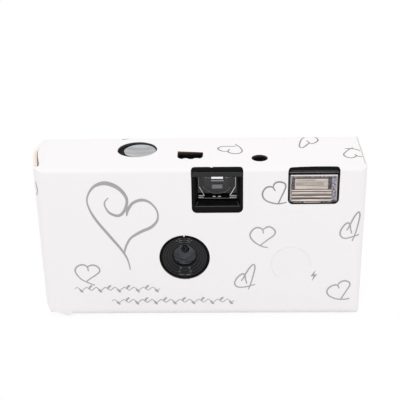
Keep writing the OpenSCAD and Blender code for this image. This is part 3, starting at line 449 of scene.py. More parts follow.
def on_front(strokes, lift):
    """Strokes drawn as (x, z) laid on the front panel, each a hair above the one before, and bent round
    its left fold."""
    rows = []
    start = CAD_LOW.x + LEFT_FOLD
    for i, (points, faces) in enumerate(strokes):
        reach = LEFT_FOLD + lift + INK_LAYER * i
        bent = []
        for x, z in points:
            over = max(0.0, start - x) / LEFT_FOLD
            bent.append(Vector((x + over * LEFT_FOLD - math.sin(over) * reach,
                                FRONT + LEFT_FOLD - math.cos(over) * reach, z)))
        rows.append((bent, faces))
    return joined(*rows)


def on_top(strokes, lift):
    """Strokes drawn as (x, y) laid on the top panel, and bent down over its rear fold."""
    rows = []
    for i, (points, faces) in enumerate(strokes):
        rise = lift + INK_LAYER * i
        bent = []
        for x, y in points:
            over = max(0.0, y - (BACK - REAR_FOLD)) / REAR_FOLD
            bent.append(Vector((x, y - over * REAR_FOLD + math.sin(over) * (REAR_FOLD + rise),
                                TOP - REAR_FOLD + math.cos(over) * (REAR_FOLD + rise))))
        rows.append((bent, faces))
    return joined(*rows)


def over_fold(x0, x1, start, reach, corner, thick, columns=60, rows=12):
    """Thin strip on the fold between the front and top panels. It begins at start along the fold's arc,
    ends at
    reach(x), is rounded at both upper corners, and fills the rounded corners of the opening below it."""
    points = []
    for lift in (0.0, thick):
        for j in range(columns + 1):
            x = x0 + (x1 - x0) * j / columns
            inside = max(0.0, corner - min(x - x0, x1 - x))
            end = reach(x) - corner + math.sqrt(max(0.0, corner ** 2 - inside ** 2))
            under = max(0.0, OPENING_ROUND - min(x - x0, x1 - x))
            first = start - OPENING_ROUND + math.sqrt(OPENING_ROUND ** 2 - under ** 2)
            for k in range(rows + 1):
                s = first + (end - first) * k / rows
                turn = min(max(s / FRONT_FOLD, 0.0), math.pi / 2)
                flat = max(0.0, s - FRONT_FOLD * math.pi / 2)
                y = FRONT + FRONT_FOLD - (FRONT_FOLD + lift) * math.cos(turn) + flat
                z = TOP - FRONT_FOLD + (FRONT_FOLD + lift) * math.sin(turn) + min(0.0, s)
                points.append(Vector((x, y, z)))
    tall, half = rows + 1, (columns + 1) * (rows + 1)
    faces = [(base + j * tall + k, base + j * tall + k + 1, base + (j + 1) * tall + k + 1,
              base + (j + 1) * tall + k)
             for base in (0, half) for j in range(columns) for k in range(rows)]
    rim = ([j * tall for j in range(columns + 1)] + [columns * tall + k for k in range(1, tall)]
           + [j * tall + rows for j in range(columns - 1, -1, -1)] + [k for k in range(rows - 1, 0, -1)])
    return points, faces + [(a, b, b + half, a + half) for a, b in zip(rim, rim[1:] + rim[:1])]


def moulded_lines(lines, y0, y1):
    """Solid bars along flat strokes (x, z, width in millimetres), from depth y0 back to y1."""
    parts = []
    for points, width in lines:
        flat, faces = pen_stroke([(x * MM, z * MM) for x, z in points], width * MM, thin=1.0, swells=0.0,
                                 steps=4)
        count = len(flat) // 2
        around = list(range(count)) + list(range(2 * count - 1, count - 1, -1))
        shift = len(flat)
        solid = [Vector((x, y, z)) for y in (y0, y1) for x, z in flat]
        sides = [(a, b, b + shift, a + shift) for a, b in zip(around, around[1:] + around[:1])]
        parts.append((solid, faces + [tuple(i + shift for i in face) for face in faces] + sides))
    return joined(*parts)


def turning(profile, x, z, count):
    """Surface of revolution about a line along Y, from (radius, y) points in metres."""
    points = [Vector((x + r * math.cos(2 * math.pi * i / count), y,
                      z + r * math.sin(2 * math.pi * i / count)))
              for i in range(count) for r, y in profile]
    n = len(profile)
    faces = [(i * n + k, i * n + k + 1, (i + 1) % count * n + k + 1, (i + 1) % count * n + k)
             for i in range(count) for k in range(n - 1)]
    return points, faces


def arc_strip(x, z, r, wide, y, turns):
    """Raised strip along an arc about a line along Y, tapered to its ends, from a list of angles."""
    last = len(turns) - 1
    points, faces = [], []
    for k, a in enumerate(turns):
        half = wide / 2 * (0.15 + 0.85 * math.sin(math.pi * k / last))
        for reach, depth in ((r - half, y + 0.06 * MM), (r, y - 0.03 * MM), (r + half, y + 0.06 * MM)):
            points.append(Vector((x + reach * math.cos(a), depth, z + reach * math.sin(a))))
    for k in range(last):
        faces += [(3 * k + j, 3 * k + (j + 1) % 3, 3 * k + 3 + (j + 1) % 3, 3 * k + 3 + j)
                  for j in range(3)]
    return points, faces + [(0, 1, 2), (3 * last, 3 * last + 1, 3 * last + 2)]


def lining(outline, thick, z0, z1):
    """Thin wall inside a closed outline of (x, y) points in metres."""
    count = len(outline)
    mx = sum(x for x, y in outline) / count
    my = sum(y for x, y in outline) / count
    inner = []
    for x, y in outline:
        reach = math.hypot(x - mx, y - my)
        inner.append((mx + (x - mx) * (1 - thick / reach), my + (y - my) * (1 - thick / reach)))
    points = [Vector((x, y, z)) for z in (z0, z1) for ring in (outline, inner) for x, y in ring]
    faces = []
    for i in range(count):
        k = (i + 1) % count
        faces += [(i, k, 2 * count + k, 2 * count + i),
                  (count + i, count + k, 3 * count + k, 3 * count + i),
                  (2 * count + i, 2 * count + k, 3 * count + k, 3 * count + i),
                  (i, k, count + k, count + i)]
    return points, faces


def circle(x, y, r, count=72):
    """Closed round outline."""
    return [(x + r * math.cos(2 * math.pi * i / count), y + r * math.sin(2 * math.pi * i / count))
            for i in range(count)]


# Pen strokes of the printed hearts, as points that a smooth line passes through, in millimetres.
# On the front panel they are (x, z), and in the large heart also the share of the broad pen that shows
# there.
FRONT_HEARTS = {
    "heart_large": (
        [(-31.9, 49.2, 0.25), (-33.3, 47.4, 0.35), (-33.0, 45.2, 0.4), (-31.4, 43.0, 0.6),
         (-28.6, 42.2, 0.7),
         (-26.5, 44.2, 0.7), (-25.4, 48.2, 0.65), (-26.9, 51.6, 0.85), (-29.8, 54.0, 1.0),
         (-33.4, 54.9, 1.0),
         (-37.0, 53.3, 0.6), (-39.2, 49.6, 0.4), (-39.1, 45.8, 0.4), (-36.8, 40.6, 0.6),
         (-32.0, 33.6, 0.65),
         (-28.3, 28.3, 0.55), (-26.4, 24.3, 0.4), (-25.6, 20.1, 0.25)],
        [(-25.8, 42.0, 0.25), (-25.3, 44.4, 0.7), (-23.4, 47.1, 0.68), (-20.2, 48.3, 0.75),
         (-17.2, 47.1, 0.5),
         (-15.0, 43.8, 0.4), (-15.1, 40.2, 0.5), (-17.4, 37.5, 0.75), (-21.2, 35.6, 0.75),
         (-24.7, 33.2, 0.55),
         (-26.5, 30.2, 0.5), (-27.5, 26.9, 0.4)]),
    "stroke_fold": (
        [(-57.4, 55.1), (-57.3, 53.9), (-57.0, 52.8), (-56.9, 51.7), (-57.2, 50.7), (-57.8, 49.8)],),
    "heart_left": (
        [(-40.9, 19.5), (-41.2, 21.2), (-42.2, 22.1), (-43.4, 22.2), (-44.9, 21.5), (-45.7, 20.1),
         (-45.4, 18.5),
         (-43.9, 16.3), (-42.1, 15.1), (-40.4, 14.2), (-38.9, 13.6)],
        [(-41.3, 21.0), (-40.8, 21.6), (-39.1, 22.1), (-37.3, 21.2), (-36.8, 19.5), (-38.2, 18.0),
         (-40.5, 16.3),
         (-42.0, 15.1)]),
    "heart_middle": (
        [(22.4, 34.7), (22.1, 36.1), (21.2, 36.9), (19.8, 37.0), (18.5, 36.0), (17.7, 34.4), (18.0, 32.8),
         (19.4, 31.1),
         (21.1, 29.9), (22.7, 29.2), (24.0, 29.0)],
        [(22.1, 36.2), (22.8, 36.7), (24.1, 37.4), (25.6, 36.8), (26.6, 35.4), (26.1, 33.9), (24.3, 32.4),
         (22.9, 31.2),
         (21.5, 30.0)]),
    "heart_flash": (
        [(26.3, 51.5), (25.5, 52.7), (24.6, 53.1), (23.3, 52.8), (22.2, 51.5), (21.9, 49.9), (22.5, 48.4),
         (23.9, 47.3),
         (26.6, 46.5), (28.6, 46.6), (30.3, 47.0)],
        [(25.5, 52.6), (25.9, 54.0), (26.9, 54.8), (28.4, 54.8), (29.6, 54.2), (29.9, 52.9), (29.1, 50.6),
         (28.4, 48.9),
         (27.5, 46.7)]),
    "heart_right": (
        [(53.6, 34.4), (53.1, 36.4), (52.8, 38.0), (52.1, 38.7), (51.2, 38.2), (50.0, 36.5), (49.5, 34.6),
         (50.0, 33.2),
         (51.3, 32.5), (53.2, 32.9), (55.2, 33.6), (56.2, 34.1)],
        [(51.7, 35.7), (52.4, 36.9), (53.0, 38.4), (54.1, 40.9), (55.1, 42.6), (55.8, 42.9), (56.1, 41.5),
         (55.7, 38.5),
         (55.1, 35.4), (54.5, 33.2), (53.9, 31.4)]),
    "heart_low": (
        [(16.6, 13.9), (16.1, 15.9), (15.9, 17.4), (15.3, 18.1), (14.2, 17.6), (12.9, 16.1), (12.2, 14.3),
         (12.7, 12.9),
         (14.1, 12.4), (16.3, 12.6), (18.1, 13.1), (19.6, 13.6)],
        [(14.6, 15.1), (15.4, 16.5), (16.0, 17.8), (17.2, 20.0), (18.4, 21.6), (19.2, 21.9), (19.5, 20.6),
         (18.9, 17.4),
         (18.2, 14.6), (17.2, 11.5)]),
    "heart_corner": (
        [(50.3, 11.7), (49.6, 12.9), (48.8, 13.2), (47.4, 12.7), (46.1, 11.4), (45.9, 9.8), (46.9, 8.4),
         (49.1, 7.3),
         (51.3, 7.0), (52.9, 7.1), (54.2, 7.5)],
        [(49.7, 12.8), (50.0, 13.8), (51.1, 14.7), (52.4, 14.9), (53.7, 14.3), (54.0, 13.0), (52.9, 10.7),
         (51.7, 8.4),
         (51.0, 7.1)]),
}
# On the top panel they are (x, y).
TOP_HEARTS = {
    "heart_top_middle": (
        [(10.7, 1.9), (10.1, 0.3), (10.5, -1.2), (12.2, -2.1), (14.0, -1.9), (15.1, -0.1), (14.7, 2.6),
         (13.8, 4.6),
         (12.7, 6.4)],
        [(10.1, -0.2), (8.5, -0.1), (7.0, 1.2), (6.5, 2.7), (7.6, 4.1), (9.6, 4.3), (11.7, 4.3),
         (13.1, 4.6)]),
    "heart_top_rear": (
        [(38.7, 9.1), (39.4, 7.6), (39.6, 6.8), (38.7, 5.4), (37.2, 3.0), (36.2, 2.7), (35.8, 4.2),
         (36.2, 7.0),
         (36.9, 9.9), (38.3, 12.6), (40.2, 14.8)],
        [(39.6, 6.9), (40.5, 6.2), (41.8, 7.2), (42.9, 9.1), (42.5, 11.5), (41.2, 13.4), (39.9, 15.2)]),
    "heart_top_end": (
        [(54.6, -3.7), (55.2, -4.5), (54.4, -6.0), (53.0, -6.6), (51.5, -5.8), (50.8, -3.8), (51.6, -1.8),
         (53.5, 1.1),
         (54.8, 2.2)],
        [(51.8, 1.3), (53.5, 1.5), (55.2, 1.0), (56.3, 0.2), (57.0, -0.7)],
        [(55.2, -4.7), (55.8, -5.4), (56.4, -5.6), (57.0, -5.5)]),
    "stroke_top": ([(-28.9, 11.4), (-27.7, 12.0), (-26.4, 12.7), (-25.2, 13.3), (-24.1, 13.9)],),
}


class WrapOperator(bpy.types.Operator):
    """Dress the card wrap, bow its left end flap and close the cut round the flash button's tab"""
    bl_idname = "filmcam.card_wrap"
    bl_label = "Card wrap"

    def execute(self, context):
        look = context.scene.card_look
        card, flap = coated_card(look), flap_card(look)
        dress(card, "card_wrap")
        dress(flap, "card_end_left", "card_end_right", "card_flash_tab")
        # The left flap bows outwards towards its rear, most at the top, and its upper edge is folded
        # double.
        low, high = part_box("card_end_left")
        columns, rows = 28, 14
        edge_wide = 1.45 * MM

        def bowed(t, height):
            rise = min(1.0, max(0.0, (height - 0.1) / 0.75))
            return low.x - look.bow * math.sin(math.pi * t ** 1.3) ** 0.9 * rise * rise * (3 - 2 * rise)

        def depth_at(t):
            return low.y + (high.y - low.y) * t

        levels = [low.z + (TOP - 0.55 * MM - low.z) * k / (rows - 1)
                  for k in range(rows)] + [TOP - 0.5 * MM, TOP + 0.01 * MM]
        points, faces = [], []
        for inside in (False, True):
            for k, z in enumerate(levels):
                for j in range(columns + 1):
                    t = j / columns
                    depth = (edge_wide if k >= rows else CARD) if inside else 0.0
                    points.append(Vector((bowed(t, (z - low.z) / (TOP - low.z)) + depth,
                                          depth_at(t), z)))
        wide, tall = columns + 1, len(levels)
        for base in (0, wide * tall):
            faces += [(base + k * wide + j, base + k * wide + j + 1, base + (k + 1) * wide + j + 1,
                       base + (k + 1) * wide + j)
                      for k in range(tall - 1) for j in range(columns)]
        edge = ([k * wide for k in range(tall)] + [(tall - 1) * wide + j for j in range(1, wide)]
                + [k * wide + columns for k in range(tall - 2, -1, -1)]
                + list(range(columns - 1, 0, -1)))
        back = wide * tall
        faces += [(a, b, b + back, a + back) for a, b in zip(edge, edge[1:] + edge[:1])]
        bow = piece("end_flap_bowed", points, faces, flap, "body", "card")
        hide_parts("card_end_left")
        # The top panel reaches out to the bowed flap and leaves a gap that closes towards the rear.
        spots = [j / columns for j in range(1, columns + 1)]
        outer = [(bowed(t, 1.0) + edge_wide + 0.02 * MM + 0.7 * MM * max(0.0, 1 - t * 1.35), depth_at(t))
                 for t in spots]
        inner = [(CAD_LOW.x + 2.6 * MM, y) for x, y in outer]
        strip = flap_card(look, False)
        piece("top_panel_edge", *between(outer, inner, TOP - 0.45 * MM, TOP + 0.03 * MM), strip, "body",
              "card")
        # Inside its fold the flap shows the uncoated core of the board: warm and matt, with short fibres.
        bare = grained("bare_boxboard_core", look.core, 0.4, vary=0.06, rough=0.75, relief=0.01, IOR=1.5)
        folds = [[(bowed(t, 1.0) + reach * MM, depth_at(t)) for t in spots[:columns * 3 // 5]]
                 for reach in (0.72, edge_wide / MM + 0.01)]
        piece("end_flap_core", *between(*folds, TOP - 0.3 * MM, TOP + 0.02 * MM), bare, "body", "card")
        # Under both end gaps lies the raw, fibrous edge of a lower flap, brown on the left and paler on the
        # right:
        # painted shade, deeper in the wide left gap than in the narrow right one.
        raw = grained("raw_edge_painted_gap_shade", linear("#8F8379"), 0.3, vary=0.2, rough=0.7, relief=0.01,
                      IOR=1.5)
        pale = grained("raw_edge_painted_gap_shade_pale", linear("#C6BAB1"), 0.3, vary=0.1, rough=0.7, relief=0.01,
                       IOR=1.5)
        inward = [(bowed(t, 1.0) + edge_wide - 0.05 * MM, depth_at(t)) for t in spots]
        piece("raw_edge_left", *between(inward, inner, TOP - 0.48 * MM, TOP - 0.3 * MM), raw, "body",
              "card")
        # The right gap is narrow and closes towards the rear.
        right_low, right_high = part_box("card_end_right")
        ahead, behind = right_low.y + 0.1 * MM, right_high.y - 0.1 * MM
        lines = [[(right_low.x - reach * MM, y) for y in (ahead, behind)] for reach in (0.42, 0.22, 0.0)]
        piece("right_gap_card", *between(lines[0], lines[1], TOP - 0.48 * MM, TOP + 0.01 * MM), strip,
              "body", "card")
        points, faces = between(lines[1], lines[2], TOP - 0.48 * MM, TOP - 0.02 * MM)
        for p in points[4:]:
            p.z -= 0.25 * MM * (p.y < 0)
        piece("raw_edge_right", points, faces, pale, "body", "card")
        # Inner flaps of the same card cover the shell's lower corners under both end flaps.
        for side, x0, x1, z1 in (("left", -60, -47, 8), ("right", 52, 60, 6)):
            points, faces = over_shell(("front_cover", "back_cover"), x0 * MM, x1 * MM, z1 * MM, 0.09 * MM)
            piece("inner_flap_" + side, points, faces, flap_card(look, False), "body", "card")
        # The tab is only perforated, so torn fibres fill its cut.
        spot = middle("flash_button")
        half = (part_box("card_flash_tab")[1].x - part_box("card_flash_tab")[0].x) / 2
        dashes, count = [], 54
        for i in range(count):
            arc = [2 * math.pi * (i + 0.82 * k / 4) / count for k in range(5)]
            line = [(spot.x / MM + (half / MM + 0.1) * math.cos(a),
                     spot.z / MM + (half / MM + 0.1) * math.sin(a)) for a in arc]
            dashes.append((line, 0.24))
        # The uncut side of the tab is a crease: a strip of the same card over the fold line.
        turn = math.radians(294)
        way, along = (math.cos(turn), math.sin(turn)), (-math.sin(turn), math.cos(turn))
        chord = [(spot.x / MM + 3.44 * way[0] + k * along[0], spot.z / MM + 3.44 * way[1] + k * along[1])
                 for k in (-5.9, -3.0, 0.0, 3.0, 5.9)]
        parts = joined(moulded_lines(dashes, FRONT + 0.09 * MM, FRONT + 0.4 * MM),
                       moulded_lines([(chord, 0.7)], FRONT - 0.02 * MM, FRONT + 0.1 * MM))
        piece("tab_bridges", *parts, flap_card(look, False), "body", "card")
        return {"FINISHED"}


class HeartsOperator(bpy.types.Operator):
    """Print the hearts on the front and top panels"""
    bl_idname = "filmcam.hearts"
    bl_label = "Printed hearts"

    def execute(self, context):
        look = context.scene.card_look
        ink = silver_ink("silver_offset_ink", look.ink)
        dark = silver_ink("silver_offset_ink_heavy", shaded(look.ink, 0.72))
        for name, strokes in FRONT_HEARTS.items():
            pen = look.big_pen if name == "heart_large" else look.small_pen
            drawn = [pen_stroke([(x * MM, z * MM, *width) for x, z, *width in line], pen, 0.7, 1.0)
                     for line in strokes]
            piece(name, *on_front(drawn, look.ink_lift), dark if name == "heart_flash" else ink, "body",
                  "card")
        for name, strokes in TOP_HEARTS.items():
            drawn = [pen_stroke([(x * MM, y * MM) for x, y in line], look.small_pen, 0.7, 1.0)
                     for line in strokes]
            piece(name, *on_top(drawn, look.ink_lift), dark, "body", "card")
        return {"FINISHED"}


class OrnamentOperator(bpy.types.Operator):
    """Print the leafy scrolls under the hearts and the flash sign beside the tab"""
    bl_idname = "filmcam.ornaments"
    bl_label = "Printed scrolls and sign"

    def execute(self, context):
        look = context.scene.card_look
        ink = silver_ink("silver_offset_ink_fine", look.ink)
        pen = look.small_pen * 0.6
        rows = {"scroll_upper": (-46.4, -15.2, 12.0, 9), "scroll_lower": (-33.0, 12.0, 6.7, 13)}
        for name, (x0, x1, z, waves) in rows.items():
            pitch = (x1 - x0) / waves
            stem = [((x0 + pitch * i / 4) * MM, (z + 0.62 * math.sin(math.pi * i / 2)) * MM)
                    for i in range(4 * waves + 1)]
            strokes = [pen_stroke(stem, pen, 0.7, 1.0, steps=5)]
            for i in range(waves):
                side = 1 if i % 2 else -1
                root = (x0 + pitch * (i + 0.5), z)
                leaf = [root, (root[0] + 0.5, root[1] + side * 0.9), (root[0] + 1.3, root[1] + side * 1.45)]
                strokes.append(pen_stroke([(x * MM, h * MM) for x, h in leaf], pen * 2.1, 0.05, 0.0,
                                          steps=6))
            piece(name, *on_front(strokes, look.ink_lift), ink, "body", "card")
        # Plain zigzag that marks a flash.
        zig = [(0.6, 2.4), (-1.2, -0.3), (-0.1, -0.3), (-0.7, -2.4), (1.2, 0.5), (0.1, 0.5)]
        sign = ([((40.8 + x) * MM, (17.2 + z) * MM) for x, z in zig], [(0, 1, 2, 5), (2, 3, 4, 5)])
        piece("flash_sign", *on_front([sign], look.ink_lift), ink, "body", "card")
        return {"FINISHED"}


class BodyOperator(bpy.types.Operator):
    """Dress the moulded covers and the frame inside"""
    bl_idname = "filmcam.body"
    bl_label = "Moulded body"

    def execute(self, context):
        look = context.scene.body_look
        # High-impact polystyrene from a spark-eroded mould: dull black with a fine even grain, drawn at
        # 0.22 mm.
        moulded = grained("moulded_black_polystyrene", look.black, 0.22, vary=0.25, rough=0.55, spread=0.08,
                          relief=0.02,
                          **sheen(1.59, 0.06))
        dress(moulded, "front_cover", "back_cover", "main_frame", "viewfinder_tube", "cartridge_spool",
              "flash_button",
              "thumb_wheel")
        return {"FINISHED"}


class LensOperator(bpy.types.Operator):
    """Dress the lens ring, the lens and the card nib above it"""
    bl_idname = "filmcam.lens"
    bl_label = "Taking lens"

    def execute(self, context):
        look = context.scene.body_look
        # Polystyrene against a turned core pin: satin black, its arcs of light painted on strips below.
        turned = grained("turned_black_polystyrene", shaded(look.black, 1.2), 0.3, vary=0.2, rough=0.24,
                         spread=0.05,
                         relief=0.004, **sheen(1.59, 0.22))
        dress(turned, "lens_ring")
        # Bloomed acrylic: the thin coating takes most of the gloss away, which a lower IOR stands for.
        dress(clear_moulding("bloomed_acrylic_lens", look.clear, rough=0.01, ripple=0.0, IOR=1.2),
              "taking_lens")
        # Each step of the funnel carries a fine rounded ridge, and a dull flat rim frames them.
        front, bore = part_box("lens_ring")[0].y, middle("taking_lens")
        step, count = (FUNNEL_R - BORE_R) / FUNNEL_STEPS, 96
        ridges = []
        for i in range(FUNNEL_STEPS):
            r, y = FUNNEL_R - (i + 0.5) * step, front + FUNNEL_DEEP * (i + 1) / FUNNEL_STEPS
            profile = [(0.12 * MM * math.cos(math.pi * k / 6), -0.12 * MM * math.sin(math.pi * k / 6))
                       for k in range(7)]
            ridges.append(turning([(r + u, y + v) for u, v in profile], bore.x, bore.z, count))
        piece("lens_ring_ridges", *joined(*ridges[1::2]), turned, "body", "black_plastic", smooth=True)
        # The same plastic coloured paler grey on every second ridge: a painted sheen along the ridges.
        ridge_sheen = grained("turned_black_painted_ridge_sheen", linear("#2F2F32"), 0.3, vary=0.2, rough=0.3,
                       spread=0.05,
                       relief=0.004, **sheen(1.59, 0.22))
        piece("lens_ring_painted_sheen_ridges", *joined(*ridges[0::2]), ridge_sheen, "body", "black_plastic", smooth=True)
        # Above and below, pale strips on some ridges are painted highlights: the bow-tie the fine steps
        # catch.
        glint_arcs = {90: ((0, 9, 17), (1, 18, 24), (2, 5, 17), (3, 13, 20), (4, 8, 14), (7, 13, 21)),
                   270: ((1, 0, 20), (3, 14, 24), (5, 14, 22), (6, 11, 25))}
        wings = []
        for upright, rows in glint_arcs.items():
            for i, inner, outer in rows:
                r, y = FUNNEL_R - (i + 0.5) * step, front + FUNNEL_DEEP * (i + 1) / FUNNEL_STEPS - 0.15 * MM
                for side in (-1, 1):
                    arc = [math.radians(upright + side * (inner + (outer - inner) * k / 6))
                           for k in range(7)]
                    wings.append(arc_strip(bore.x, bore.z, r, 0.2 * MM, y, arc))
        painted_glints = grained("black_ridges_painted_glints", linear("#88888C"), 0.3, vary=0.3, rough=0.3, relief=0.002,
                         IOR=1.59)
        piece("lens_ring_painted_glints", *joined(*wings), painted_glints, "body", "black_plastic")
        # Polystyrene from an eroded part of the mould: a dull, deeper black, which also paints shade in the
        # bore.
        dull = grained("moulded_black_rim_and_bore_shade", shaded(look.black, 0.6), 0.22, vary=0.25, rough=0.6,
                       spread=0.08, relief=0.02,
                       **sheen(1.59, 0.03))
        rim = turning([(FUNNEL_R, front + 0.2 * MM), (FUNNEL_R, front),
                       (FUNNEL_R + 0.08 * MM, front - 0.03 * MM),
                       (8.72 * MM, front - 0.03 * MM), (8.8 * MM, front + 0.02 * MM)], bore.x, bore.z,
                      count)
        piece("lens_ring_rim", *rim, dull, "body", "black_plastic")
        # The bore in front of the lens is lined with it: painted shade that shows its lower wall as a dark
        # crescent.
        lip, glass = front + FUNNEL_DEEP - 0.02 * MM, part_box("taking_lens")[0].y + 0.5 * MM
        lining_of_bore = turning([(4.64 * MM, lip), (4.24 * MM, lip - 0.02 * MM),
                                  (4.16 * MM, lip + 0.1 * MM),
                                  (4.14 * MM, glass)], bore.x, bore.z, count)
        piece("lens_bore_painted_shade", *lining_of_bore, dull, "body", "black_plastic", smooth=True)
        spot = middle("lens_ring")
        hole = (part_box("lens_ring")[1].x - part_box("lens_ring")[0].x) / 2 - 0.5 * MM
        nib = [(-0.35, 0.1), (0.35, 0.1), (0.12, -0.62), (-0.12, -0.62)]
        profile = [(spot.x + x * MM, spot.z + hole + z * MM) for x, z in nib]
        points = [Vector((x, y, z)) for y in (FRONT, FRONT + 0.4 * MM) for x, z in profile]
        piece("card_nib", *prism(points, len(nib)), flap_card(context.scene.card_look), "body", "card")
        return {"FINISHED"}


class FinderOperator(bpy.types.Operator):
    """Build the brow, the tapered cheeks and the moulded edges of the viewfinder"""
    bl_idname = "filmcam.finder"
    bl_label = "Viewfinder"

    def execute(self, context):
        look = context.scene.body_look
        low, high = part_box("viewfinder_lens")
        wall = 0.8 * MM
        x0, x1, z0, z1 = low.x + wall, high.x - wall, low.z + wall, high.z - wall
        mid = (x0 + x1) / 2
        # Polystyrene from a polished part of the mould: black with a clear sheen.
        glossy = grained("polished_black_polystyrene", look.black, 0.6, vary=0.1, rough=0.2, spread=0.04,
                         relief=0.002,
                         **sheen(1.59, 0.3))
        brow = [(SHELL_FRONT + 0.1 * MM, z1 - 0.3 * MM), (SHELL_FRONT - 0.5 * MM, z1 - 0.25 * MM),
                (SHELL_FRONT - 0.25 * MM, z1 + 1.35 * MM), (SHELL_FRONT + 0.1 * MM, z1 + 1.4 * MM)]
        piece("finder_brow", *bar(brow, x0 - 0.85 * MM, x1 + 0.85 * MM), glossy, "body", "black_plastic",
              bevel=0.06 * MM)
        # Dull moulded polystyrene made darker than the covers: painted shade inside the recess and under
        # its hood.
        dull = grained("moulded_black_painted_recess_shade", shaded(look.black, 0.7), 0.22, vary=0.25, rough=0.5,
                       spread=0.06,
                       relief=0.01, **sheen(1.59, 0.05))
        # The frame's top reaches over the fold of the card, and a torn bit of card bites into its edge.
        bite_x, bite = mid - 1.9 * MM, 0.6 * MM

        def reach(x):
            return 2.45 * MM - bite * max(0.0, 1 - abs(x - bite_x) / bite)

        hood = over_fold(mid - 9.0 * MM, mid + 9.0 * MM, 0.6 * MM, reach, 1.5 * MM, 0.08 * MM)
        piece("finder_hood", *hood, dull, "body", "black_plastic")
        lens_y = low.y - 0.03 * MM
        cheeks = [post([(edge, SHELL_FRONT + 0.1 * MM), (edge + side * 0.1 * MM, SHELL_FRONT + 0.1 * MM),
                        (edge + side * 1.05 * MM, lens_y), (edge, lens_y)], z0, z1)
                  for side, edge in ((1, x0), (-1, x1))]
        piece("finder_cheeks", *joined(*cheeks), dull, "body", "black_plastic")
        # The floor meets the cheeks and its own front edge in small rounds, coloured pale grey as painted
        # highlights.
        sill = [(SHELL_FRONT - 0.02 * MM, z0 + 0.02 * MM), (SHELL_FRONT - 0.02 * MM, z0 + 0.1 * MM),
                (SHELL_FRONT + 0.12 * MM, z0 + 0.13 * MM), (SHELL_FRONT + 0.2 * MM, z0 + 0.02 * MM)]
        edges = [bar(sill, x0 + 0.1 * MM, x1 - 0.1 * MM)]
        for side, edge in ((1, x0), (-1, x1)):
            start = Vector((edge + side * 0.35 * MM, SHELL_FRONT + 0.6 * MM, z0))
            end = Vector((edge + side * 1.0 * MM, lens_y - 1.4 * MM, z0))
            wide = Vector((side * 0.16 * MM, 0, 0))
            lift = Vector((0, 0, 0.14 * MM))
            points = [start, start + wide, start + lift, end, end + wide, end + lift]
            edges.append((points, [(0, 1, 2), (3, 4, 5), (0, 1, 4, 3), (1, 2, 5, 4), (2, 0, 3, 5)]))
        lit = grained("black_edges_painted_highlight", linear("#5E5E62"), 0.3, vary=0.2, rough=0.3, relief=0.003,
                      IOR=1.59)
        piece("finder_floor_edges", *joined(*edges), lit, "body", "black_plastic")
        # Acrylic over a black tube, tinted dark grey: painted shade of the tube seen through it.
        dress(clear_moulding("acrylic_viewfinder_painted_shade", shaded(look.clear, 0.32), rough=0.02, ripple=0.01,
                             **{"Specular IOR Level": 0.08}), "viewfinder_lens")
        # Clear acrylic with faint sink marks, bright against the light.
        dress(clear_moulding("acrylic_eyepiece", look.clear, rough=0.02, ripple=0.01),
              "viewfinder_eyepiece")
        # Lines in front of the lens are painted highlights and reflections: glints on its moulded edges, a
        # bright bar at its top and the grey image of the eyepiece behind.
        m = mid / MM
        bright = [([(m - 2.1, 53.9), (m, 53.9), (m + 2.0, 53.9)], 0.72)]
        clear = [([(m + 6.35, 50.5), (m + 5.5, 48.9), (m + 4.4, 46.9)], 0.26),
                 ([(m - 6.44, 50.4), (m - 5.6, 48.9), (m - 4.6, 46.8)], 0.2),
                 ([(m + 6.42, 54.2), (m + 6.42, 52.4), (m + 6.4, 50.7)], 0.16),
                 ([(m - 6.7, 46.95), (m - 5.8, 46.95), (m - 4.9, 46.9)], 0.24),
                 ([(m + 4.3, 46.9), (m + 5.6, 46.9), (m + 6.8, 46.9)], 0.24),
                 ([(m - 6.7, 46.3), (m - 5.8, 46.3), (m - 4.9, 46.3)], 0.22),
                 ([(m + 4.3, 46.25), (m + 5.6, 46.25), (m + 6.8, 46.25)], 0.24),
                 ([(m - 1.7, 46.55), (m - 1.2, 46.62), (m - 0.7, 46.55)], 0.26),
                 ([(m + 0.2, 46.55), (m + 0.7, 46.62), (m + 1.2, 46.55)], 0.26)]
        dim = [([(m - 6.52, 54.2), (m - 6.52, 52.4), (m - 6.5, 50.7)], 0.13),
               ([(m - 6.7, 45.95), (m, 45.9), (m + 6.8, 45.9)], 0.14),
               ([(m - 2.2, 52.8), (m, 52.8), (m + 2.2, 52.8)], 0.45),
               ([(m - 4.4, 53.95), (m - 3.5, 53.95), (m - 2.6, 53.95)], 0.14),
               ([(m + 2.6, 53.95), (m + 3.3, 53.95), (m + 4.0, 53.95)], 0.12)]
        faint = [([(m - 1.9, 50.5), (m, 50.5), (m + 1.75, 50.5)], 1.5),
                 ([(m - 5.0, 50.6), (m - 4.4, 49.7), (m - 2.1, 48.2), (m - 0.4, 47.8), (m + 2.9, 48.4),
                   (m + 4.6, 50.3)],
                  0.12)]
        rows = (("finder_painted_top_highlight", bright, "#F6F8FA", 1.0),
                ("finder_painted_edge_glints", clear, "#F0F1F3", 0.0),
                ("finder_painted_dim_glints", dim, "#9A9CA0", 0.0), ("finder_painted_eyepiece_image", faint, "#7C7C80", 0.0))
        for name, lines, code, mirror in rows:
            glow = grained("acrylic_" + name, linear(code), 0.5, vary=0.08, rough=0.2, spread=0.04,
                           relief=0.002,
                           Metallic=mirror)
            piece(name, *moulded_lines(lines, lens_y - 0.12 * MM, lens_y + 0.02 * MM), glow, "body",
                  "clear_plastic")
        return {"FINISHED"}


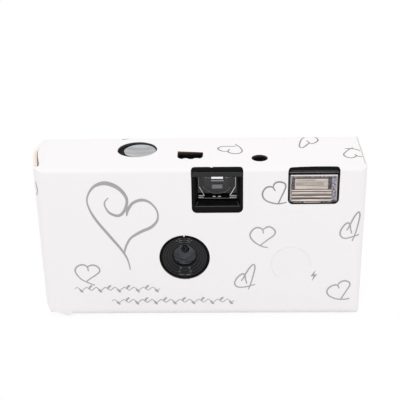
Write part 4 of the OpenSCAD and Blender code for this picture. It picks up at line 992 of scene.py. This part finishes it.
class FlashOperator(bpy.types.Operator):
    """Build the ledge over the flash and its ribbed pane, and dress the reflector and the tube"""
    bl_idname = "filmcam.flash"
    bl_label = "Flash"

    def execute(self, context):
        look = context.scene.body_look
        low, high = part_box("flash_window")
        m = (low.x + high.x) / 2 / MM
        # Polished polystyrene coloured dark grey rather than black: a painted sheen where the ledge lies in
        # the light.
        glossy = grained("black_ledge_painted_sheen", linear("#3A393B"), 0.6, vary=0.15, rough=0.3, spread=0.04,
                         relief=0.002,
                         **sheen(1.59, 0.3))
        f = SHELL_FRONT
        ledge = [(f + 0.1 * MM, 58.6 * MM), (f - 0.3 * MM, 58.7 * MM), (f - 0.25 * MM, 58.9 * MM),
                 (f + 0.05 * MM, 59.25 * MM), (f + 0.2 * MM, 59.3 * MM)]
        piece("flash_ledge", *bar(ledge, low.x + 0.45 * MM, high.x - 0.45 * MM), glossy, "body",
              "black_plastic",
              bevel=0.04 * MM)
        lip = [(f + 0.1 * MM, 58.2 * MM), (f - 0.45 * MM, 58.22 * MM), (f - 0.45 * MM, 58.34 * MM),
               (f + 0.1 * MM, 58.38 * MM)]
        # Its lower lip is coloured pale grey: a painted highlight along the edge.
        edge = grained("black_ledge_lip_painted_highlight", linear("#88898D"), 0.5, vary=0.12, rough=0.3, relief=0.002,
                       IOR=1.59)
        piece("flash_ledge_lip", *bar(lip, low.x + 0.4 * MM, high.x - 0.4 * MM), edge, "body",
              "black_plastic",
              bevel=0.03 * MM)
        # The frame's top reaches over the fold of the card in a low arch.
        dull = grained("moulded_black_arch", shaded(look.black, 0.8), 0.22, vary=0.25, rough=0.5,
                       spread=0.06, relief=0.01,
                       **sheen(1.59, 0.05))
        peak = (m + 2.4) * MM
        hood = over_fold((m - 8.88) * MM, (m + 8.88) * MM, 0.75 * MM,
                         lambda x: 2.2 * MM - 0.5 * MM * ((x - peak) / (11.3 * MM)) ** 2, 1.3 * MM,
                         0.08 * MM)
        piece("flash_hood", *hood, dull, "body", "black_plastic")
        # Clear acrylic, slightly rippled, behind the ribs.
        dress(clear_moulding("acrylic_flash_window", look.clear, rough=0.05, ripple=0.02), "flash_window")
        y0 = low.y
        # Ribbed acrylic in front of the reflector, built as opaque ribs: pale and dark beige by turns, with
        # streaks along them, painted light of the reflector seen through the ribs.
        streak = (0.06, 1, 1)
        # Over the dark ends, the walls and the shell it is painted grey to black as shade, the left wall
        # lighter, and its cut top edge is a painted white highlight.
        # Each row has the colour, grain in mm, variation, roughness, relief in mm, stretch and crispness.
        even = (1, 1, 1)
        table = {
            "pale": ("flash_ribs_painted_highlight", "#DDD3CB", 0.4, 0.38, 0.2, 0.02, streak, 0.2),
            "beige": ("flash_ribs_painted_reflector_light", "#C0B3A9", 0.4, 0.32, 0.2, 0.02, streak, 0.2),
            "haze": ("flash_ribs_painted_hazy_light", "#A49D9A", 0.35, 0.3, 0.2, 0.02, streak, 0.2),
            "brown": ("flash_ribs_painted_shade", "#594D49", 0.5, 0.3, 0.25, 0.02, streak, 0.5),
            "shade": ("flash_pane_painted_end_shade", "#4F474F", 0.9, 0.7, 0.2, 0.03, even, 0.14),
            "grey": ("flash_pane_painted_grey_over_shell", "#8C888F", 0.7, 0.6, 0.2, 0.02, even, 0.14),
            "rail": ("flash_pane_painted_left_wall_light", "#464649", 0.8, 0.3, 0.2, 0.004, even, 0.5),
            "wall": ("flash_pane_painted_right_wall_shade", "#17171A", 0.8, 0.3, 0.2, 0.004, even, 0.5),
            "white": ("flash_pane_painted_top_highlight", "#F4EFED", 0.8, 0.04, 0.2, 0.004, even, 0.5),
        }
        finishes = {kind: grained(name, linear(code), grain, vary, rough, 0.1, relief, stretch, crisp,
                                  IOR=1.49)
                    for kind, (name, code, grain, vary, rough, relief, stretch, crisp) in table.items()}
        left, right = m - 7.98, m + 8.1
        parts = {kind: [] for kind in finishes}

        def rib(kind, x_left, x_right, z_low, z_high, proud):
            parts[kind].append(bar([(y0 + 0.02 * MM, z_low * MM), (y0 - proud * MM, (z_low + 0.06) * MM),
                                    (y0 - proud * MM, (z_high - 0.06) * MM), (y0 + 0.02 * MM, z_high * MM)],
                                   x_left * MM, x_right * MM))

        rib("white", left, right, 56.92, 57.3, 0.3)
        rib("grey", left, right, 56.3, 56.94, 0.2)
        rib("brown", left + 0.5, m + 5.2, 55.8, 56.32, 0.16)
        rib("beige", m - 6.55, m + 5.0, 51.7, 55.82, 0.1)
        rib("pale", m + 0.6, m + 4.9, 55.2, 55.6, 0.14)
        rib("brown", m - 5.6, m + 0.4, 55.05, 55.2, 0.13)
        rib("haze", m - 6.2, m + 3.4, 53.2, 54.55, 0.14)
        rib("pale", m - 3.6, m + 1.4, 53.72, 53.9, 0.18)
        rib("brown", m - 5.9, m + 4.6, 53.08, 53.2, 0.13)
        rib("pale", m - 6.3, m + 4.7, 52.2, 52.5, 0.14)
        rib("shade", left + 0.4, m - 6.5, 51.6, 56.0, 0.14)
        rib("shade", m + 4.95, m + 6.2, 51.6, 56.0, 0.14)
        rib("grey", m + 6.15, right, 47.4, 56.32, 0.12)
        rib("grey", left, left + 0.45, 47.4, 56.32, 0.12)
        bands = [("brown", 51.5, 51.75), ("pale", 51.1, 51.52), ("brown", 50.72, 51.12),
                 ("pale", 50.25, 50.75),
                 ("beige", 49.72, 50.28), ("brown", 49.2, 49.74), ("pale", 48.6, 49.22),
                 ("brown", 47.85, 48.62),
                 ("pale", 47.2, 47.88)]
        for kind, z_low, z_high in bands:
            rib(kind, left + 0.4, m + 6.2, z_low, z_high, 0.2 if kind == "pale" else 0.1)
        rib("white", m - 5.9, m + 0.8, 49.0, 49.14, 0.26)
        rib("brown", m - 2.2, m + 5.6, 50.42, 50.52, 0.24)
        rib("haze", m - 4.4, m + 2.0, 49.86, 50.06, 0.16)
        rib("shade", left + 0.4, right, 46.9, 47.22, 0.08)
        rib("beige", m - 3.35, m + 2.46, 46.55, 46.95, 0.12)
        rib("rail", m - 8.42, m - 8.0, 46.9, 57.35, 0.3)
        rib("wall", m + 8.12, m + 8.5, 46.9, 57.35, 0.3)
        rib("pale", m + 7.86, m + 8.02, 47.3, 56.8, 0.3)
        rib("pale", left - 0.02, left + 0.12, 47.3, 56.8, 0.3)
        for kind, bars in parts.items():
            piece("flash_pane_" + kind, *joined(*bars), finishes[kind], "body", "clear_plastic",
                  bevel=0.03 * MM)
        # Rolled aluminium, bright dipped: a warm mirror that blurs along the rolling lines.
        bright = grained("bright_rolled_aluminium", look.warm, 0.4, vary=0.06, rough=0.22, spread=0.06,
                         relief=0.004,
                         stretch=(0.05, 1, 1), Metallic=1.0)
        dress(bright, "flash_reflector")
        # Borosilicate glass tube: smooth, clear and hard in its highlights.
        dress(clear_moulding("borosilicate_tube", look.clear, rough=0.01, ripple=0.002, IOR=1.47),
              "flash_tube")
        # Neon lamp glass over orange-brown electrodes.
        dress(clear_moulding("neon_lamp_glass", linear("#A8685C"), rough=0.05, ripple=0.004, IOR=1.5),
              "ready_lamp")
        return {"FINISHED"}


class ControlsOperator(bpy.types.Operator):
    """Dress the release button and the counter, line the openings above them and number the dial"""
    bl_idname = "filmcam.controls"
    bl_label = "Top controls"

    def execute(self, context):
        look = context.scene.body_look
        # ABS with aluminium flake, moulded satin: silver grey with a soft wide highlight.
        silver = grained("silver_flake_abs", look.silver, 3.0, vary=0.28, rough=0.3, spread=0.05,
                         relief=0.01,
                         stretch=(0.1, 1, 1), crisp=0.16, **{"Metallic": 0.75, "IOR": 1.53})
        dress(silver, "release_button")
        # Acetal coloured dark maroon: a soft, waxy gloss.
        dark = grained("moulded_maroon_acetal", linear("#4A3734"), 0.3, vary=0.2, rough=0.4, spread=0.06,
                       relief=0.006,
                       **sheen(1.48, 0.15))
        dress(dark, "counter_dial")
        # A thin flat window bends nothing, so it lets the dial through and keeps only a veil of gloss.
        dress(grained("acrylic_counter_window", shaded(look.clear, 0.02), 2.5, vary=0.02, rough=0.06,
                      spread=0.02,
                      relief=0.002, **{"IOR": 1.49, "Alpha": 0.15}), "counter_window")
        # Raised rims of the black body line the card's three openings, coloured grey at the button and
        # maroon at the
        # lamp and counter: painted light on the rims.
        rim_painted_light = {"button_rim": "#4A4A4C", "lamp_rim": "#4E3A38", "counter_rim": "#46302D"}
        z0, z1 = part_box("front_cover")[1].z, TOP - 0.06 * MM
        cap, lamp, dial = middle("release_button"), middle("ready_lamp"), middle("counter_dial")
        cap_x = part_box("release_button")[1].x - 5.7 * MM
        rims = {"button_rim": circle(cap_x - 0.9 * MM, cap.y, 7.12 * MM),
                "lamp_rim": circle(lamp.x, lamp.y, 2.87 * MM)}
        left, right, front, rear = dial.x - 3.38 * MM, dial.x + 5.68 * MM, -6.48 * MM, -0.72 * MM
        round_r = 2.38 * MM
        turns = [math.pi * (1 + k / 16) for k in range(9)]
        corner = [(left + round_r + round_r * math.cos(a), front + round_r + round_r * math.sin(a))
                  for a in turns]
        rims["counter_rim"] = corner + [(left + right - x, y) for x,
                                        y in reversed(corner)] + [(right, rear), (left, rear)]
        for name, outline in rims.items():
            rim = grained("moulded_" + name, linear(rim_painted_light[name]), 0.22, vary=0.25, rough=0.5, spread=0.06,
                          relief=0.01,
                          **sheen(1.59, 0.08))
            piece(name, *lining(outline, 0.2 * MM, z0, z1), rim, "body", "black_plastic")
        # The rim stands higher at its rear left, where it shows over the edge of the card.
        brow = post([(left, rear - 0.1 * MM), (right, rear - 0.1 * MM), (left, rear + 1.0 * MM)],
                    TOP - 0.3 * MM, TOP + 0.03 * MM)
        piece("counter_brow", *brow, dark, "body", "black_plastic")
        # In front of the button the card's cut runs closer to the cap.
        hole_x, hole_r = cap_x - 0.9 * MM, 7.15 * MM
        cut = [math.radians(-160 + 160 * k / 24) for k in range(25)]
        lines = []
        for bite in (-0.05 * MM, 0.8 * MM):
            reach = [hole_r - bite * math.sin(math.pi * k / 24) for k in range(25)]
            lines.append([(hole_x + r * math.cos(a), cap.y + r * math.sin(a)) for r, a in zip(reach, cut)])
        piece("button_card_edge", *between(*lines, TOP - 0.45 * MM, TOP + 0.01 * MM),
              flap_card(context.scene.card_look, False),
              "body", "card")
        scallops = []
        for x, half in ((-4.9, 1.1), (-1.0, 1.3)):
            curve = [((x + half * math.cos(math.pi * k / 8)) * MM,
                      front + 0.75 * MM * math.sin(math.pi * k / 8)) for k in range(9)]
            scallops.append(post(curve, TOP - 0.5 * MM, TOP - 0.01 * MM))
        piece("counter_card_scallops", *joined(*scallops), flap_card(context.scene.card_look, False),
              "body", "card")
        # White pad-printing ink: matt, slightly uneven.
        pale = grained("pad_printed_white", linear("#D9D6D0"), 0.2, vary=0.08, rough=0.5, spread=0.05,
                       relief=0.003,
                       IOR=1.5)
        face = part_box("counter_dial")[1].z
        for i in range(DIAL_COUNT):
            words = bpy.data.curves.new(f"count_{DIAL_STEP * i}", "FONT")
            words.body = str(DIAL_STEP * i)
            words.size = 2.2 * MM
            words.align_x = "CENTER"
            made = bpy.data.objects.new(f"count_{DIAL_STEP * i}", words)
            bpy.context.scene.collection.objects.link(made)
            turn = -math.pi / 2 - 2 * math.pi * i / DIAL_COUNT
            made.location = (dial.x + DIAL_R * math.cos(turn), dial.y + DIAL_R * math.sin(turn),
                             face + 0.03 * MM)
            made.rotation_euler = (0, 0, turn + math.pi / 2)
            made.data.materials.append(pale)
            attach(made, "counter")
        return {"FINISHED"}


class WorksOperator(bpy.types.Operator):
    """Dress the film, the cartridge, the shutter and the flash unit inside"""
    bl_idname = "filmcam.works"
    bl_label = "Inner works"

    def execute(self, context):
        # Spring steel strip and wire, bright from rolling: grey metal with lines along the strip.
        steel = grained("rolled_spring_steel", linear("#9B9DA0"), 0.3, rough=0.32, relief=0.003,
                        stretch=(0.1, 1, 1),
                        Metallic=1.0)
        dress(steel, "blade_spring", "striker_spring", "ratchet_pawl", "cell_top_contact", "cell_spring",
              "capacitor_leads", "lamp_leads")
        # Steel strip, chemically blackened so that no light strays: near black with a dull bloom.
        dress(grained("blackened_steel", linear("#0D0D0E"), 0.3, vary=0.25, rough=0.6, relief=0.002,
                      **sheen(1.5, 0.05)), "shutter_blade")
        # Phosphated steel: matt dark grey with fine crystals.
        dress(grained("phosphated_steel", linear("#68676D"), 0.2, vary=0.2, rough=0.7, relief=0.003,
                      **sheen(1.5, 0.2)), "aperture_plate")
        # Lightly pigmented polystyrene: matt dark grey.
        dress(grained("moulded_grey_polystyrene", linear("#68676D"), 0.22, vary=0.2, rough=0.6, relief=0.01,
                      **sheen(1.59, 0.1)), "lens_seat")
        # Acetal without pigment: milky white, slightly waxy.
        acetal = grained("natural_acetal", linear("#E3DFD3"), 0.5, vary=0.05, rough=0.42, relief=0.004,
                         **{"IOR": 1.48, "Subsurface Weight": 0.15, "Subsurface Scale": 0.5 * MM})
        dress(acetal, "release_lever", "striker_lever", "film_sprocket", "supply_spool")
        # Tinned steel sheet: soft grey mirror with rolling lines up the can.
        tin = grained("rolled_tinplate", linear("#8E9092"), 0.25, rough=0.3, relief=0.002,
                      stretch=(1, 1, 0.08),
                      Metallic=1.0)
        dress(tin, "cartridge_shell", "cartridge_top_cap", "cartridge_bottom_cap")
        # Black plush: no gloss, a pile about 0.3 mm deep.
        dress(grained("black_plush", linear("#0B0B0C"), 0.12, vary=0.5, rough=0.95, spread=0.03,
                      relief=0.12,
                      **sheen(1.45, 0.1)), "light_trap_felt")
        # Acetate with a gelatine coating: brown and glossy.
        dress(grained("coated_acetate_film", linear("#5A3F2E"), 3.0, vary=0.06, rough=0.18, spread=0.04,
                      relief=0.003,
                      IOR=1.5), "film_strip", "film_roll")
        # Phenolic paper laminate: tan, with paper fibres about 0.6 mm long.
        dress(grained("phenolic_paper_laminate", linear("#A97A3C"), 0.6, vary=0.16, rough=0.45, relief=0.01,
                      stretch=(1, 1, 0.4), IOR=1.55), "circuit_board")
        # Varnished windings and dipped parts: brown, glossy, finely ridged.
        dress(grained("wound_and_dipped_parts", linear("#5B3A26"), 0.25, vary=0.3, rough=0.4, relief=0.03,
                      stretch=(0.1, 1, 1), IOR=1.55), "board_components", "flash_transformer",
              "trigger_coil")
        # Shrunk vinyl: dark blue, smooth, with a broad soft highlight.
        dress(grained("shrunk_vinyl_sleeve", linear("#1B2033"), 1.2, vary=0.1, rough=0.28, relief=0.01,
                      IOR=1.53),
              "flash_capacitor")
        # Rolled brass: yellow metal with lines along the strip.
        dress(grained("brass_strip", linear("#C9A24E"), 0.3, rough=0.28, relief=0.002, stretch=(0.1, 1, 1),
                      Metallic=1.0), "flash_switch_leaf", "sync_contact")
        # Lacquered steel: even gold with a clear gloss.
        dress(grained("lacquered_steel_can", linear("#B58A2C"), 0.5, vary=0.06, rough=0.25, relief=0.002,
                      IOR=1.5),
              "aa_cell")
        return {"FINISHED"}


class StageOperator(bpy.types.Operator):
    """Lay the white floor, set the lamps and place the camera"""
    bl_idname = "filmcam.stage"
    bl_label = "Stage and camera"

    def execute(self, context):
        look = context.scene.stage_look
        scene = context.scene
        scene.view_settings.view_transform = "Standard"
        # Seamless grey paper that the camera, gloss and glass see as white, with the object's shadow left
        # on it.
        material, tree = blank("seamless_paper")
        seen = seen_plainly(tree)
        tone = add(tree, "Mix", {0: seen, 6: linear("#EAEAEA"), 7: (1, 1, 1, 1)}, data_type="RGBA")
        paper = add(tree, "BsdfDiffuse", {"Color": tone.outputs[2]})
        share = add(tree, "Math", {0: seen, 1: 0.92}, operation="MULTIPLY")
        glow = add(tree, "Emission", {"Color": (1, 1, 1, 1), "Strength": 1.0})
        close(material, tree, add(tree, "MixShader",
                                  {0: share.outputs[0], 1: paper.outputs[0], 2: glow.outputs[0]}))
        half = 3.0
        mesh = bpy.data.meshes.new("floor")
        mesh.from_pydata([(-half, -half, 0), (half, -half, 0), (half, half, 0), (-half, half, 0)], [],
                         [(0, 1, 2, 3)])
        floor = bpy.data.objects.new("floor", mesh)
        floor.location.z = CAD_LOW.z - 0.05 * MM
        floor.data.materials.append(material)
        scene.collection.objects.link(floor)
        world = bpy.data.worlds.new("white_room")
        scene.world = world
        world.use_nodes = True
        tree = world.node_tree
        tree.nodes.clear()
        seen = seen_plainly(tree)
        strength = add(tree, "MapRange", {"Value": seen, "To Min": look.air, "To Max": 1.0})
        sky = add(tree, "Background", {"Color": (1, 1, 1, 1), "Strength": strength.outputs[0]})
        add(tree, "OutputWorld", {"Surface": sky.outputs[0]})
        lamps = {"key": (look.key, 0.12, (-0.12, -0.12, 0.8)), "fill": (look.fill, 0.06, (0.0, -0.3, 0.2))}
        for name, (power, size, place) in lamps.items():
            data = bpy.data.lights.new(name, "AREA")
            data.energy = power
            data.size = size
            lamp = bpy.data.objects.new(name, data)
            lamp.location = place
            aim = Vector((0, 0, 0.03)) - Vector(place)
            lamp.rotation_euler = aim.to_track_quat("-Z", "Y").to_euler()
            scene.collection.objects.link(lamp)
        data = bpy.data.cameras.new("view")
        data.lens, data.sensor_width, data.sensor_fit = look.focal, 36.0, "HORIZONTAL"
        data.clip_start, data.clip_end = 0.01, 20.0
        camera = bpy.data.objects.new("view", data)
        e, a = look.elevation, look.azimuth
        back = Vector((math.sin(a) * math.cos(e), -math.cos(a) * math.cos(e), math.sin(e)))
        right = (-back).cross(Vector((0, 0, 1))).normalized()
        up = right.cross(-back)
        c, s = math.cos(look.roll), math.sin(look.roll)
        across, upward = right * c + up * s, up * c - right * s
        place = Matrix((across, upward, back)).transposed().to_4x4()
        place.translation = Vector((look.aim_x, 0, look.aim_z)) + back * look.distance
        camera.matrix_world = place
        scene.collection.objects.link(camera)
        scene.camera = camera
        return {"FINISHED"}


STEPS = (WrapOperator, HeartsOperator, OrnamentOperator, BodyOperator, LensOperator, FinderOperator,
         FlashOperator,
         ControlsOperator, WorksOperator, StageOperator)
LOOKS = {"card_look": CardLook, "body_look": BodyLook, "stage_look": StageLook}


class FilmCameraPanel(bpy.types.Panel):
    """Lists the pieces of the camera and their settings"""
    bl_idname = "VIEW3D_PT_filmcam"
    bl_label = "Film camera"
    bl_space_type = "VIEW_3D"
    bl_region_type = "UI"
    bl_category = "Film camera"

    def draw(self, context):
        for step in STEPS:
            self.layout.operator(step.bl_idname)
        for name, group in LOOKS.items():
            box = self.layout.box()
            for key in group.__annotations__:
                box.prop(getattr(context.scene, name), key)


def register():
    for name, group in LOOKS.items():
        bpy.utils.register_class(group)
        setattr(bpy.types.Scene, name, PointerProperty(type=group))
    for step in STEPS + (FilmCameraPanel,):
        bpy.utils.register_class(step)


def unregister():
    for step in reversed(STEPS + (FilmCameraPanel,)):
        bpy.utils.unregister_class(step)
    for name, group in LOOKS.items():
        delattr(bpy.types.Scene, name)
        bpy.utils.unregister_class(group)


def main():
    """Registers the classes and runs every step in order."""
    register()
    for step in STEPS:
        group, name = step.bl_idname.split(".")
        getattr(getattr(bpy.ops, group), name)()


if __name__ == "__main__":
    main()
